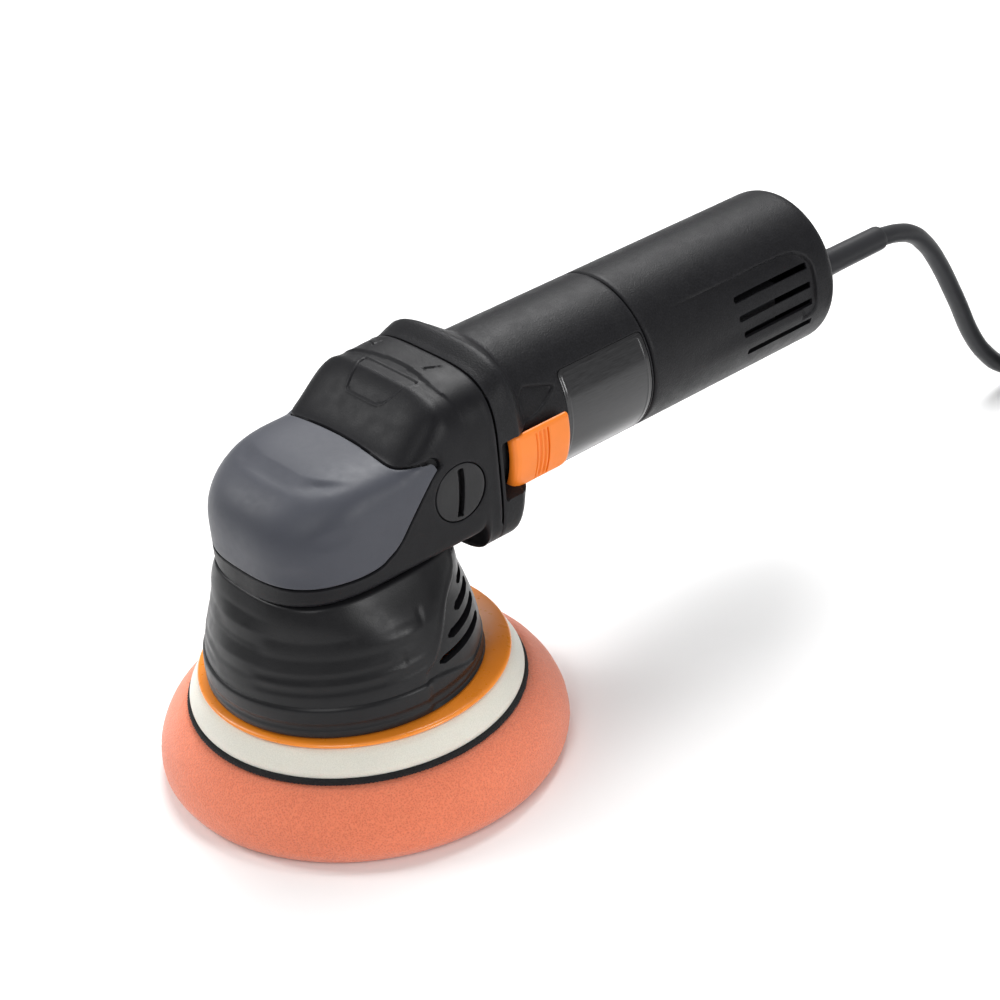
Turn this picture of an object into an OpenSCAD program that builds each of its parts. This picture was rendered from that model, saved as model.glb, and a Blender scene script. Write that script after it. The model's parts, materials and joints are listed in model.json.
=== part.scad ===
// Corded dual-action polisher, right-angle head. Millimetres, +Z up, handle along +Y.
// The origin is where the spindle's axis meets the ground under the foam pad.

/* [Foam pad] */
// Foam pad diameter at its widest
pad_d = 152; // [146:1:154]
// Foam pad height
pad_h = 26; // [24:0.5:28]

/* [Backing plate] */
// Backing plate diameter at its hook face
plate_d = 126; // [122:1:130]
// Diameter of the orange rim on top of the plate
rim_d = 114; // [110:1:116]
// Thickness of the hook disc
hook_t = 2.2; // [1.8:0.2:2.6]
// Thickness of the plate's foam layer
plate_foam_t = 9.6; // [8:0.2:10]
// Offset of the pad's axis from the spindle's, half of the orbit
throw = 5; // [4:0.5:6]
// Direction of that offset at rest, turned from the handle
throw_turn = 20; // [0:5:40]

/* [Shroud] */
// Radius of the shroud's lip
lip_r = 51; // [50:0.5:52]
// Height of the lip above the ground
lip_z = 41; // [40.5:0.5:42]
// Height of the joint between the shroud and the head
neck_z = 88; // [87.5:0.5:88]

/* [Head] */
// Distance from the spindle's axis to the nose
head_r = 38.5; // [38:0.5:39]
// Half of the head's width at the spindle
head_w = 35.2; // [35:0.2:36]
// Height of the dome's top
dome_z = 129; // [128:0.5:130]
// Half of the flange's width
flange_w = 36.2; // [36:0.2:36.6]
// Height of the flange's top
flange_top = 145.6; // [145:0.2:146]
// Height of the flange's underside
flange_low = 75; // [75:0.5:77]
// Where the head's flange meets the motor housing
flange_y = 50; // [50:0.5:51]
// Height of the motor housing's collar, behind the flange
collar_top = 148.5; // [148:0.5:150]
// Thickness of the soft cover on the dome
cover_t = 2; // [1.5:0.5:2.5]

/* [Handle] */
// Height of the motor's axis
axis_z = 113; // [112.5:0.5:113.5]
// Barrel radius
barrel_r = 31.4; // [31.2:0.2:32]
// Where the motor housing meets the rear housing
split_y = 130; // [129:1:131]
// Where the rear housing ends
tail_y = 230; // [229:1:232]
// Height at which the cord leaves the tail
cord_z = 102; // [100:1:104]

/* [Switch and speed dial] */
// Travel of the slide switch
switch_travel = 4.5; // [3:0.5:5]
// Radius of the speed dial
dial_r = 14; // [13.5:0.5:14]

/* [Gears] */
// Module of the bevel gears
gear_m = 1.25; // [1.2:0.01:1.25]
// Teeth on the ring gear
ring_teeth = 40; // [40:1:40]
// Teeth on the pinion
pinion_teeth = 10; // [10:1:10]

/* [Cord] */
// Cord diameter
cord_d = 8; // [8:0.5:8]
// Turns side by side in the coil
coil_wide = 3; // [3:1:3]
// Layers of turns in the coil
coil_high = 4; // [4:1:4]

/* [Hidden] */
$fn = 64;
e = 0.01;                                  // overlap of cutters with open faces

body_black = [0.10, 0.10, 0.11];
soft_gray = [0.36, 0.37, 0.40];
orange = [0.97, 0.52, 0.13];
coral = [0.95, 0.55, 0.45];
cream = [0.92, 0.91, 0.87];
steel = [0.70, 0.71, 0.73];
copper = [0.78, 0.44, 0.25];
brass = [0.80, 0.65, 0.33];

// ---- heights and places that follow from the driving sizes
hook_z = pad_h;
plate_foam_z = hook_z + hook_t;
rim_z = plate_foam_z + plate_foam_t;
throw_x = -throw * sin(throw_turn);
throw_y = throw * cos(throw_turn);
pad_set = [0.5, 0.6];                        // the foam pad sits slightly off the plate's centre
wall = 3;                                  // housing wall
barrel_in = barrel_r - wall;
rear_in = barrel_r - 2.5;
seam = 0.5;                                // open groove between the two housings
bearing_z = neck_z - 2;                    // underside of the lower spindle bearing
shaft_r = 6;                               // spindle and pad spindle
case_bore = 28;                            // gear chamber radius
socket_y = 32;
socket_z = 109.5;
socket_r = 11.3;
pitch_ring = gear_m * ring_teeth / 2;
pitch_pinion = gear_m * pinion_teeth / 2;
gear_face = 0.3;                           // face width over cone distance
slider_y = flange_y + 2.5 + switch_travel;
slider_len = 27;
rod_h = 5;
commutator_y = 137;
rear_bearing_y = 156;
dial_y = tail_y - 12;
dial_x = -20;

// ---- general helpers
function clamp01(t) = min(1, max(0, t));
function ease(t) = let(u = clamp01(t)) u * u * (3 - 2 * u);
function mix(a, b, t) = a + (b - a) * t;
function sgn(v) = v < 0 ? -1 : 1;
function power(v, p) = sgn(v) * pow(abs(v), p);

// A solid skinned over a list of rings with equal numbers of points. Each ring runs clockwise as seen from the
// next one, and the end rings are convex.
module skin(rings) {
    n = len(rings[0]);
    last = len(rings) - 1;
    polyhedron(
        points = [for (ring = rings) each ring],
        faces = [
            [for (i = [0 : n - 1]) i],
            for (k = [0 : last - 1], i = [0 : n - 1])
                let(j = (i + 1) % n) each [
                    [k * n + i, (k + 1) * n + i, (k + 1) * n + j],
                    [k * n + i, (k + 1) * n + j, k * n + j],
                ],
            [for (i = [n - 1 : -1 : 0]) last * n + i],
        ]
    );
}

// Children drawn upright are laid along +Y on the motor's axis, from y onwards.
module along_y(y) translate([0, y, axis_z]) rotate([-90, 0, 0]) children();

// The same along +X, at height z.
module along_x(x, y, z) translate([x, y, z]) rotate([0, 90, 0]) children();

// Children drawn on the spindle's axis are moved to the pad's axis.
module on_pad_axis() translate([throw_x, throw_y, 0]) children();

module tube(r_out, r_in, h)
    rotate_extrude() translate([r_in, 0]) square([r_out - r_in, h]);

module sector(r_out, r_in, from, to, h)
    rotate([0, 0, from]) rotate_extrude(angle = to - from) translate([r_in, 0]) square([r_out - r_in, h]);

// A shielded ball bearing: two rings with a recessed shield between them.
module bearing(r_out, r_in, h) {
    land = (r_out - r_in) * 0.28;
    recess = 0.5;
    rotate_extrude() polygon([
        [r_in, 0], [r_in + land, 0], [r_in + land, recess], [r_out - land, recess], [r_out - land, 0], [r_out, 0],
        [r_out, h], [r_out - land, h], [r_out - land, h - recess], [r_in + land, h - recess], [r_in + land, h],
        [r_in, h],
    ]);
}

// A pan-head screw along +Z, with its head on top and a cross-cut in it.
module screw(r, length, head_r, head_h) {
    difference() {
        union() {
            cylinder(r = r, h = length + head_h / 2);
            translate([0, 0, length]) cylinder(r = head_r, h = head_h);
        }
        for (a = [0, 90])
            rotate([0, 0, a]) translate([-head_r * 0.6, -0.5, length + head_h - 1])
                cube([head_r * 1.2, 1, 2]);
    }
}

// ---- the head's outer surface, as sections across the handle
head_low = 103;                            // height of the head's widest line at the nose
flange_mid = 112;                          // and at the flange
plan_power = 2.9;                          // how square the nose is, seen from above
nose_power = 2.6;                          // the same, seen from the side
function past_nose(y) = pow(max(0, 1 - pow(clamp01(-y / head_r), plan_power)), 1 / plan_power);
function half_width(y) = y < 0 ? head_w * past_nose(y) : mix(head_w, flange_w, ease(y / flange_y));
function waist_z(y) = mix(head_low, flange_mid, ease(y / flange_y));
function ramp(y) = let(t = clamp01((y - 9) / 21)) (t + ease(t)) / 2;
function top_z(y) =
    y < 0 ? waist_z(y) + (dome_z - waist_z(y)) * pow(max(0, 1 - pow(clamp01(-y / head_r), nose_power)), 1 / nose_power)
          : mix(dome_z, flange_top - 0.8, ramp(y)) + 0.8 * ease((y - 30) / 15);
function low_z(y) = mix(neck_z, flange_low, ease((y - 41.6) / 3));
flange_power = 3.8;                        // how square the flange is
function top_power(y) = mix(mix(2.8, 5, ease((y + 35) / 38)), flange_power, ease((y - 24) / 16));
function low_power(y) = mix(14, 4.5, ease((y - 39) / 6));

function head_section(y, inset, count) = [
    for (i = [0 : count - 1])
        let(
            t = -360 * i / count,
            up = sin(t) >= 0,
            p = 2 / (up ? top_power(y) : low_power(y)),
            rise = up ? top_z(y) - waist_z(y) - inset : waist_z(y) - low_z(y) - inset
        )
        [max(0.4, half_width(y) - inset) * power(cos(t), p), y, waist_z(y) + max(0.4, rise) * power(sin(t), p)]
];

// Stations from the nose to the flange, closer together where the shape turns.
function head_stations(inset) = let(nose = head_r - inset) [
    for (a = [4 : 8.6 : 90]) -nose * cos(a),
    for (y = [4, 8, 11, 14, 18, 22, 26, 29, 32, 36, 39, 41.6, 42.5, 43.2, 44, 46, flange_y]) y,
];

// Inset sections use the outline of the full-size nose, so the inner skin is shifted back by the inset.
module head_form(inset, count)
    skin([
        for (y = head_stations(inset))
            let(s = y < 0 ? y * head_r / (head_r - inset) : y)
            [for (p = head_section(s, inset, count)) [p[0], y, p[2]]]
    ]);

// Side view of the soft cover: everything in front of and under this line.
module cover_region()
    rotate([90, 0, 90]) translate([0, 0, -60]) linear_extrude(120)
        polygon([
            [-60, 95.5], [-8, 95.5], [0, 98], [5, 101.2], [10, 107], [15.5, 113.5], [21.5, 120], [26, 123.6],
            [21, 124.6], [14.5, 126.2], [8, 128.2], [8, 140], [-60, 140],
        ]);

// ---- head
module gear_case() {
    color(body_black) difference() {
        union() {
            difference() {
                head_form(0, 48);
                cover_region();
            }
            head_form(cover_t, 48);
        }
        translate([0, 0, neck_z - 5]) cylinder(r = case_bore, h = axis_z - neck_z + 5);
        translate([0, 0, axis_z - 1]) cylinder(r = 7, h = 12);
        along_y(13) cylinder(r = 12, h = 24);
        along_y(36) cylinder(r = 8, h = 7);
        along_y(42.5) cylinder(r = 13, h = 12);
        for (side = [-1, 1]) {
            along_x(side > 0 ? 30.8 : -45.8, socket_y, socket_z) cylinder(r = socket_r, h = 15);
            along_x(side > 0 ? 20 : -32, socket_y, socket_z) cylinder(r = 4, h = 12);
        }
        for (a = [45 : 90 : 315])
            rotate([0, 0, a]) translate([31.8, 0, neck_z - 2]) cylinder(r = 1.8, h = 14);
        flange_screw_places() cylinder(r = 1.8, h = 11);
    }
}

module head_cover() {
    color(soft_gray) difference() {
        intersection() {
            head_form(0, 48);
            cover_region();
        }
        head_form(cover_t, 48);
    }
}

// Closes the gear chamber from below and carries the spindle's lower bearing.
module case_bottom_plate() {
    color(steel) difference() {
        union() {
            intersection() {
                translate([0, 0, neck_z - 4]) cylinder(r = 34, h = 4);
                translate([-32.2, -40, neck_z - 4]) cube([64.4, 80, 4]);
            }
            translate([0, 0, neck_z - e]) cylinder(r = 20, h = 9 + e);
        }
        translate([0, 0, neck_z - 5]) cylinder(r = 13, h = 4);
        translate([0, 0, bearing_z]) cylinder(r = 16, h = 12);
        for (a = [45 : 90 : 315])
            rotate([0, 0, a]) translate([31.8, 0, neck_z - 5]) cylinder(r = 1.8, h = 6);
    }
}

module head_screws() {
    color(steel) for (a = [45 : 90 : 315])
        rotate([0, 0, a]) translate([31.8, 0, neck_z + 11]) mirror([0, 0, 1]) screw(1.8, 18, 3.4, 2.2);
}

module handle_socket_plugs() {
    color(body_black) for (side = [-1, 1])
        mirror([side < 0 ? 1 : 0, 0, 0]) difference() {
            union() {
                along_x(31, socket_y, socket_z) cylinder(r = socket_r - 0.3, h = 5);
                along_x(22, socket_y, socket_z) cylinder(r = 3.9, h = 9 + e);
            }
            translate([33.5, socket_y, socket_z]) rotate([-6, 0, 0])
                translate([0, -1.5, -9.5]) cube([5, 3, 19]);
        }
}

// ---- shroud: a bell whose top follows the head and whose lip is round
function shroud_r(z) = let(t = clamp01((z - lip_z) / (neck_z - lip_z)))
    z < 46 ? mix(lip_r - 0.4, lip_r, (z - lip_z) / (46 - lip_z)) : mix(lip_r, 38.4, pow((z - 46) / (neck_z - 46), 1.55));
function shroud_side(z) = mix(1, head_w / head_r, ease((z - 72) / 16));
function shroud_power(z) = mix(2, plan_power, ease((z - 72) / 16));
function shroud_ring(z, inset, count) = [
    for (i = [0 : count - 1])
        let(t = 360 * i / count, r = shroud_r(z) - inset, p = 2 / shroud_power(z))
        [r * shroud_side(z) * power(cos(t), p), r * power(sin(t), p), z]
];
shroud_levels = [lip_z, 43, 46, 50, 55, 60, 65, 70, 74, 78, 82, 85, neck_z];

// Level slots through the shroud on both sides of the handle: first and last angle from +X, then height.
vent_slots = [[39, 56, 73.6], [27, 55, 68.7], [16, 53, 63], [7, 48, 57]];
module shroud_vents()
    for (side = [-1, 1], slot = vent_slots)
        mirror([side < 0 ? 1 : 0, 0, 0]) hull() for (turn = [slot[0], slot[1]])
            rotate([0, 0, turn]) along_x(30, 0, slot[2]) cylinder(r = 1.6, h = 25, $fn = 16);

module shroud() {
    color(body_black) difference() {
        union() {
            difference() {
                skin([for (z = shroud_levels) shroud_ring(z, 0, 72)]);
                skin([for (z = [lip_z - 1, each shroud_levels, neck_z + 1]) shroud_ring(z, 2.5, 72)]);
            }
            translate([0, 0, neck_z - 7]) cylinder(r = 37, h = 3);
        }
        translate([0, 0, neck_z - 8]) cylinder(r = 27.5, h = 5);
        for (a = [45 : 90 : 315])
            rotate([0, 0, a]) translate([31.8, 0, neck_z - 8]) cylinder(r = 2.1, h = 5);
        shroud_vents();
    }
}

// ---- spindle group
module spindle_bearing_lower()
    color(steel) translate([0, 0, bearing_z]) bearing(16, shaft_r + 0.03, 10);

module spindle_bearing_upper()
    color(steel) translate([0, 0, 117]) tube(7, 4.03, 7);

module bearing_circlip()
    color(steel) translate([0, 0, bearing_z + 10]) difference() {
        tube(16, 13.6, 1);
        translate([-3, 10, -1]) cube([6, 8, 3]);
    }

module spindle() {
    color(steel) {
        translate([0, 0, 76]) cylinder(r = shaft_r, h = 40);
        translate([0, 0, 116 - e]) cylinder(r = 4, h = 7.5 + e);
    }
}

// Bevel gears: their cones meet where the two axes cross.
cone_ring = atan(ring_teeth / pinion_teeth);
cone_len = norm([pitch_ring, pitch_pinion]);
tooth_pitch = PI * gear_m;

// A point on the ring gear: s is its distance from the apex over the cone length, up is its height off the
// pitch cone at the heel, and across is its distance from the tooth's middle at the heel.
function ring_point(turn, s, up, across) =
    let(r = s * (cone_len * sin(cone_ring) + up * cos(cone_ring)),
        z = axis_z - s * (cone_len * cos(cone_ring) - up * sin(cone_ring)),
        c = s * across)
    [r * cos(turn) - c * sin(turn), r * sin(turn) + c * cos(turn), z];

ring_add = 0.4 * gear_m;
ring_ded = 1.35 * gear_m;
module ring_tooth(turn)
    skin([
        for (s = [1 - gear_face, 1]) [
            ring_point(turn, s, -ring_ded, 0.34 * tooth_pitch),
            ring_point(turn, s, ring_add, 0.13 * tooth_pitch),
            ring_point(turn, s, ring_add, -0.13 * tooth_pitch),
            ring_point(turn, s, -ring_ded, -0.34 * tooth_pitch),
        ]
    ]);

module ring_gear() {
    heel = ring_point(0, 1, -ring_ded + 0.2, 0);
    toe = ring_point(0, 1 - gear_face, -ring_ded + 0.2, 0);
    color(steel) {
        difference() {
            rotate_extrude() polygon([
                [shaft_r, 97.6], [12, 97.6], [12, 99], [heel[0] + 0.6, 99], [heel[0] + 0.6, heel[2]],
                [heel[0], heel[2]], [toe[0], toe[2]], [toe[0] - 2, toe[2] - 1.5], [11, toe[2] - 1.5],
                [10, 107], [shaft_r, 107],
            ]);
        }
        for (k = [0 : ring_teeth - 1]) ring_tooth(90 + (k + 0.5) * 360 / ring_teeth);
    }
}

pinion_add = 1.15 * gear_m;
pinion_ded = 0.75 * gear_m;
function pinion_tooth(a) = let(
        root = pitch_pinion - pinion_ded,
        tip = pitch_pinion + pinion_add,
        at_root = 0.27 * tooth_pitch,
        at_tip = 0.06 * tooth_pitch)
    [for (p = [[root, -at_root], [tip, -at_tip], [tip, at_tip], [root, at_root]])
        [p[0] * cos(a) - p[1] * sin(a), p[0] * sin(a) + p[1] * cos(a)]];

// The toothed nose tapers towards the apex; the plain hub behind it sits on the motor shaft.
module pinion() {
    heel_y = pitch_ring;
    toe_y = heel_y * (1 - gear_face);
    neck_r = pitch_pinion - pinion_ded - 0.1;
    ring_of = [for (k = [0 : pinion_teeth - 1]) each pinion_tooth(90 + k * 360 / pinion_teeth)];
    color(steel) {
        along_y(heel_y) mirror([0, 0, 1]) linear_extrude(heel_y - toe_y, scale = toe_y / heel_y)
            polygon(ring_of);
        along_y(heel_y - e) difference() {
            union() {
                cylinder(r = neck_r, h = 1);
                translate([0, 0, 0.6]) cylinder(r = 7, h = 9.4);
            }
            translate([0, 0, 2]) cylinder(r = 4, h = 9);
        }
    }
}

// Joins the spindle to the pad's axis and balances the offset mass.
module eccentric_hub() {
    color([0.55, 0.56, 0.58]) difference() {
        union() {
            on_pad_axis() translate([0, 0, 51]) cylinder(r = 18.5, h = 25);
            translate([0, 0, 72]) cylinder(r = 22, h = 6);
            translate([0, 0, 78 - e]) cylinder(r = 10, h = 7);
            rotate([0, 0, throw_turn]) translate([0, 0, 58])
                sector(35, 8, 205, 335, 18);
        }
        on_pad_axis() translate([0, 0, 50]) cylinder(r = 14, h = 24);
        translate([0, 0, 76]) cylinder(r = shaft_r, h = 12);
    }
}

module pad_bearings()
    color(steel) on_pad_axis() for (z = [53, 64]) translate([0, 0, z]) bearing(14, shaft_r + 0.03, 8);

// ---- pad group, turning freely about its own axis
plate_boss_z = 47;
module pad_spindle() {
    color(steel) on_pad_axis() difference() {
        union() {
            translate([0, 0, plate_boss_z]) cylinder(r = 11, h = 4);
            translate([0, 0, plate_boss_z + 4 - e]) cylinder(r = 8.5, h = 1.5);
            translate([0, 0, plate_boss_z + 5]) cylinder(r = shaft_r, h = 20.5);
        }
        translate([0, 0, plate_boss_z - 1]) cylinder(r = 4, h = 18);
    }
}

module pad_bolt() {
    color(steel) on_pad_axis() difference() {
        union() {
            translate([0, 0, 34]) cylinder(r = 6.5, h = 6);
            translate([0, 0, 40 - e]) cylinder(r = 4, h = 22);
        }
        translate([0, 0, 33]) cylinder(r = 3.2, h = 5, $fn = 6);
    }
}

module backing_plate() {
    color(orange) on_pad_axis() difference() {
        rotate_extrude() polygon([
            [4, 40], [13, 40], [13, plate_foam_z + 1], [20, plate_foam_z + 1], [20, rim_z], [rim_d / 2, rim_z],
            [rim_d / 2 + 0.4, rim_z + 1], [rim_d / 2 - 1, rim_z + 2], [rim_d / 2 - 7, rim_z + 2.4],
            [24, rim_z + 2.4], [16, plate_boss_z], [4, plate_boss_z],
        ]);
        for (a = [0 : 60 : 300])
            rotate([0, 0, a]) translate([38, 0, rim_z - 1]) cylinder(r = 3.5, h = 8);
    }
}

module plate_foam()
    color(cream) on_pad_axis() rotate_extrude() polygon([
        [20, plate_foam_z], [plate_d / 2 - 1.5, plate_foam_z], [plate_d / 2 - 1.5, plate_foam_z + 2.5],
        [rim_d / 2 + 0.3, rim_z - 0.8], [rim_d / 2 - 0.8, rim_z], [20, rim_z],
    ]);

module hook_disc()
    color(body_black) on_pad_axis() translate([0, 0, hook_z]) tube(plate_d / 2, 14, hook_t);

module foam_pad()
    color(coral) on_pad_axis() translate(pad_set) rotate_extrude() polygon([
        [0, 0], [pad_d / 2 - 4.5, 0], [pad_d / 2 - 1.2, 2.5], [pad_d / 2, 7], [pad_d / 2 - 1, 12.5],
        [pad_d / 2 - 4, 18], [pad_d / 2 - 9.5, 24], [pad_d / 2 - 13, pad_h], [0, pad_h],
    ]);

// ---- motor housing: a square collar that runs into a round barrel
function collar_section(y, count) = [
    for (i = [0 : count - 1])
        let(
            t = -360 * i / count,
            up = sin(t) >= 0,
            k = ease((y - 59) / 10),
            p = 2 / mix(up ? flange_power : 4.5, 2, ease((y - 57) / 11)),
            top = mix(mix(flange_top, collar_top, ease((y - flange_y) / 8)), axis_z + barrel_r - 0.4, k),
            low = mix(flange_low, axis_z - barrel_r + 0.4, k),
            mid = mix(flange_mid, axis_z, k)
        )
        [mix(flange_w, barrel_r - 0.4, k) * power(cos(t), p), y,
         mid + (up ? top - mid : mid - low) * power(sin(t), p)]
];

module flange_screw_places()
    for (x = [-1, 1], z = [-1, 1])
        translate([x * 25.8, flange_y - 10.5, axis_z + z * 22.5]) rotate([-90, 0, 0]) children();

module motor_housing() {
    color(body_black) difference() {
        union() {
            skin([for (y = [flange_y, 52, 54, 56, 58, 60, 62, 64, 66, 68, 70]) collar_section(y, 48)]);
            along_y(60) cylinder(r = barrel_r, h = split_y - 60);
        }
        along_y(flange_y - 1) cylinder(r = 26, h = 8);
        along_y(57) cylinder(r = barrel_in, h = split_y - 56);
        // channel for the slider over the barrel, and the slot that its stem runs in
        difference() {
            translate([20, flange_y + 1, axis_z - 17]) cube([30, 40, 25]);
            along_y(flange_y) cylinder(r = barrel_r, h = 50);
        }
        translate([20, slider_y + 1.5, axis_z - 3]) cube([20, 21.5, 6]);
        // recess of the label plate
        along_y(87) sector(barrel_r + 1, barrel_r - 0.8, -35, 53, 42);
        flange_screw_places() {
            translate([0, 0, 9]) cylinder(r = 1.8, h = 12);
            translate([0, 0, 20]) cylinder(r = 4, h = 11);
        }
    }
}

module flange_screws()
    color(steel) flange_screw_places() screw(1.8, 20, 3.6, 2.4);

module label_plate()
    color([0.16, 0.16, 0.17]) along_y(87) sector(barrel_r, barrel_r - 0.8, -35, 53, 42);

// ---- rear housing: a closed cup with side vents
vent_rows = [[176, 126], [177, 118.5], [179, 111], [182, 102]];
rear_screw_places = [[-13, 20], [13, -20]];
rear_len = tail_y - split_y - seam;
module rear_housing() {
    color(body_black) difference() {
        union() {
            along_y(split_y + seam) rotate_extrude() polygon([
                [0, 0], [barrel_r - 1, 0], [barrel_r, 1], [barrel_r, rear_len - 5], [barrel_r - 0.4, rear_len - 2.6],
                [barrel_r - 1.6, rear_len - 0.9], [barrel_r - 3.4, rear_len], [0, rear_len],
            ]);
            along_y(split_y) cylinder(r = barrel_r - 1.2, h = seam + e);
        }
        along_y(split_y - 1) cylinder(r = rear_in, h = tail_y - split_y - 7);
        along_y(210) cylinder(r = rear_in - 2, h = tail_y - 213);
        for (side = [-1, 1], row = vent_rows)
            translate([side * 25, row[0] + 1.5, row[1]]) {
                translate([-10, 0, -1.5]) cube([20, 217 - row[0], 3]);
                along_x(-10, 0, 0) cylinder(r = 1.5, h = 20);
            }
        translate([0, tail_y - 5, cord_z]) rotate([-90, 0, 0]) cylinder(r = 6.5, h = 8);
        translate([dial_x - 0.6, 200, axis_z - 11.6]) cube([7.2, tail_y - 200 + e, 23.2]);
        for (p = rear_screw_places) along_y(tail_y - 5) translate([p[0], -p[1], 0]) {
            cylinder(r = 1.8, h = 6);
            translate([0, 0, 2.5]) cylinder(r = 3.6, h = 6);
        }
    }
    // shelf under the cord clamp
    color(body_black) difference() {
        intersection() {
            translate([-9, 204, axis_z - barrel_r]) cube([18, 9, 14.2]);
            along_y(200) cylinder(r = barrel_r - 1, h = 20);
        }
        for (x = [-6.8, 6.8]) translate([x, 208.5, 84]) cylinder(r = 1.3, h = 20);
    }
}

module rear_screws()
    color(steel) for (p = rear_screw_places)
        along_y(split_y + 9) translate([p[0], -p[1], 0]) screw(1.8, rear_len - 11, 3.4, 2.2);

module fan_baffle()
    color(body_black) along_y(69) difference() {
        tube(barrel_in, 18, 2.5);
        translate([25.2, -3.3, -1]) cube([5, 6.6, 5]);
    }

// ---- motor
stator_y = 78;
stator_len = 44;
armature_r = 15.6;
module stator_core() {
    color([0.45, 0.46, 0.48]) along_y(stator_y) difference() {
        intersection() {
            cylinder(r = barrel_in, h = stator_len);
            translate([-25.2, -30, 0]) cube([50.4, 60, stator_len]);
        }
        translate([0, 0, -1]) cylinder(r = armature_r + 0.7, h = stator_len + 2);
        for (a = [0, 180], b = [8, 148]) rotate([0, 0, a]) translate([0, 0, -1])
            sector(22.5, 16, b, b + 24, stator_len + 2);
    }
}

// Two saddle coils: straight sides through the stator's slots, joined by an arc at each end.
module field_coils() {
    color(copper) for (a = [0, 180]) along_y(stator_y) rotate([0, 0, a]) difference() {
        translate([0, 0, -5.5]) sector(22.3, 17.2, 10, 170, stator_len + 11);
        sector(24, 16, 30, 150, stator_len);
    }
}

module motor_bearing_front() color(steel) along_y(42.5) bearing(13, 5.03, 8);
module motor_bearing_rear() color(steel) along_y(rear_bearing_y) bearing(11, 4.03, 7);

module armature_shaft() {
    color(steel) {
        along_y(27) cylinder(r = 4, h = 138);
        along_y(41) cylinder(r = 5, h = 34);
    }
}

module armature_core() {
    color([0.45, 0.46, 0.48]) along_y(80) difference() {
        cylinder(r = armature_r, h = 40);
        translate([0, 0, -1]) cylinder(r = 4, h = 42);
        for (k = [0 : 11]) rotate([0, 0, 30 * k])
            translate([armature_r - 1.2, -0.7, -1]) cube([3, 1.4, 42]);
    }
}

// End turns at both ends of the core, with the leads that run to the commutator.
module armature_winding() {
    color(copper) along_y(0) {
        translate([0, 0, 75]) rotate_extrude() polygon([[5, 0], [10, 0], [14.2, 2.5], [14.2, 5], [5, 5]]);
        translate([0, 0, 120]) rotate_extrude() polygon([
            [4, 0], [14.2, 0], [14.2, 3], [10.5, 8], [9.5, 13], [9.5, commutator_y - 120], [4, commutator_y - 120],
        ]);
    }
}

module commutator() {
    color(copper) along_y(commutator_y) difference() {
        union() {
            cylinder(r = 12, h = 2.5);
            cylinder(r = 11, h = 14);
        }
        translate([0, 0, -1]) cylinder(r = 4, h = 16);
        for (k = [0 : 23]) rotate([0, 0, 15 * k]) translate([10.4, -0.2, 3]) cube([1, 0.4, 12]);
    }
}

module cooling_fan() {
    color([0.20, 0.20, 0.21]) along_y(58) difference() {
        union() {
            tube(9, 5, 9);
            translate([0, 0, 7.5]) cylinder(r = 23.5, h = 1.8);
            for (k = [0 : 8]) rotate([0, 0, 40 * k]) translate([8, 0, 0]) rotate([0, 0, 25])
                cube([13.5, 1.4, 8]);
        }
        translate([0, 0, -1]) cylinder(r = 5, h = 12);
    }
}

// ---- brush gear
brush_y = 144.5;
module brush_bridge() {
    color([0.22, 0.20, 0.18]) difference() {
        union() {
            along_y(split_y + 1) tube(rear_in - 0.4, 24, 6);
            for (a = [0, 180]) along_y(split_y + 1) rotate([0, 0, a]) translate([-9, 12, 0]) cube([18, 14.5, 25]);
            along_y(152.5) cylinder(r = 14, h = 11.5);
            for (p = rear_screw_places) along_y(split_y + 1) translate([p[0], -p[1], 0]) cylinder(r = 3.8, h = 18);
        }
        along_y(split_y) cylinder(r = 12.6, h = 22.5);
        along_y(152) cylinder(r = 6, h = 14);
        along_y(rear_bearing_y) cylinder(r = 11, h = 10);
        for (a = [0, 180]) along_y(brush_y) rotate([0, 0, a]) translate([-4.5, 10, -5.5]) cube([9, 20, 11]);
        translate([24.8, split_y, axis_z - 3.2]) cube([6, 12, 6.4]);
        for (p = rear_screw_places) along_y(split_y + 8) translate([p[0], -p[1], 0]) cylinder(r = 1.8, h = 12);
    }
}

module brush_holders()
    color(brass) for (a = [0, 180]) along_y(brush_y) rotate([0, 0, a]) difference() {
        translate([-4.5, 12.6, -5.5]) cube([9, 13.6, 11]);
        translate([-3.3, 12, -4.3]) cube([6.6, 13.2, 8.6]);
    }

module carbon_brushes()
    color([0.12, 0.12, 0.13]) for (a = [0, 180]) along_y(brush_y) rotate([0, 0, a])
        translate([-3.2, 11.1, -4.2]) cube([6.4, 9, 8.4]);

// Small helical springs: a six-sided wire that follows a computed helix.
module helix_spring(r, wire, pitch, turns, steps)
    skin([
        for (i = [0 : turns * steps])
            let(t = i / steps)
            [for (k = [0 : 5])
                let(a = -60 * k)
                [(r + wire * cos(a)) * cos(360 * t), (r + wire * cos(a)) * sin(360 * t),
                 pitch * t + wire * sin(a)]]
    ]);

module brush_springs()
    color(steel) for (a = [0, 180]) along_y(brush_y) rotate([0, 0, a])
        translate([0, 20.6, 0]) rotate([-90, 0, 0]) helix_spring(2.2, 0.4, 1.15, 3.5, 12);

// ---- switch
slider_face = 36;
module switch_slider() {
    color(orange) {
        difference() {
            along_y(slider_y) sector(slider_face, barrel_r + 0.35, -11, 28, slider_len);
            for (k = [0 : 2]) translate([slider_face - 0.9, slider_y + 8 + 3 * k, axis_z - 30]) cube([4, 1.2, 60]);
        }
        translate([28.3, slider_y + 8, axis_z - 2.5]) cube([4.2, 8, 5]);
        translate([25.7, slider_y + 7, axis_z - rod_h / 2]) cube([2.7, 10, rod_h]);
    }
}

module switch_rod()
    color(body_black) translate([25.7, slider_y + 17, axis_z - rod_h / 2]) cube([2.1, 100, rod_h]);

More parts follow.
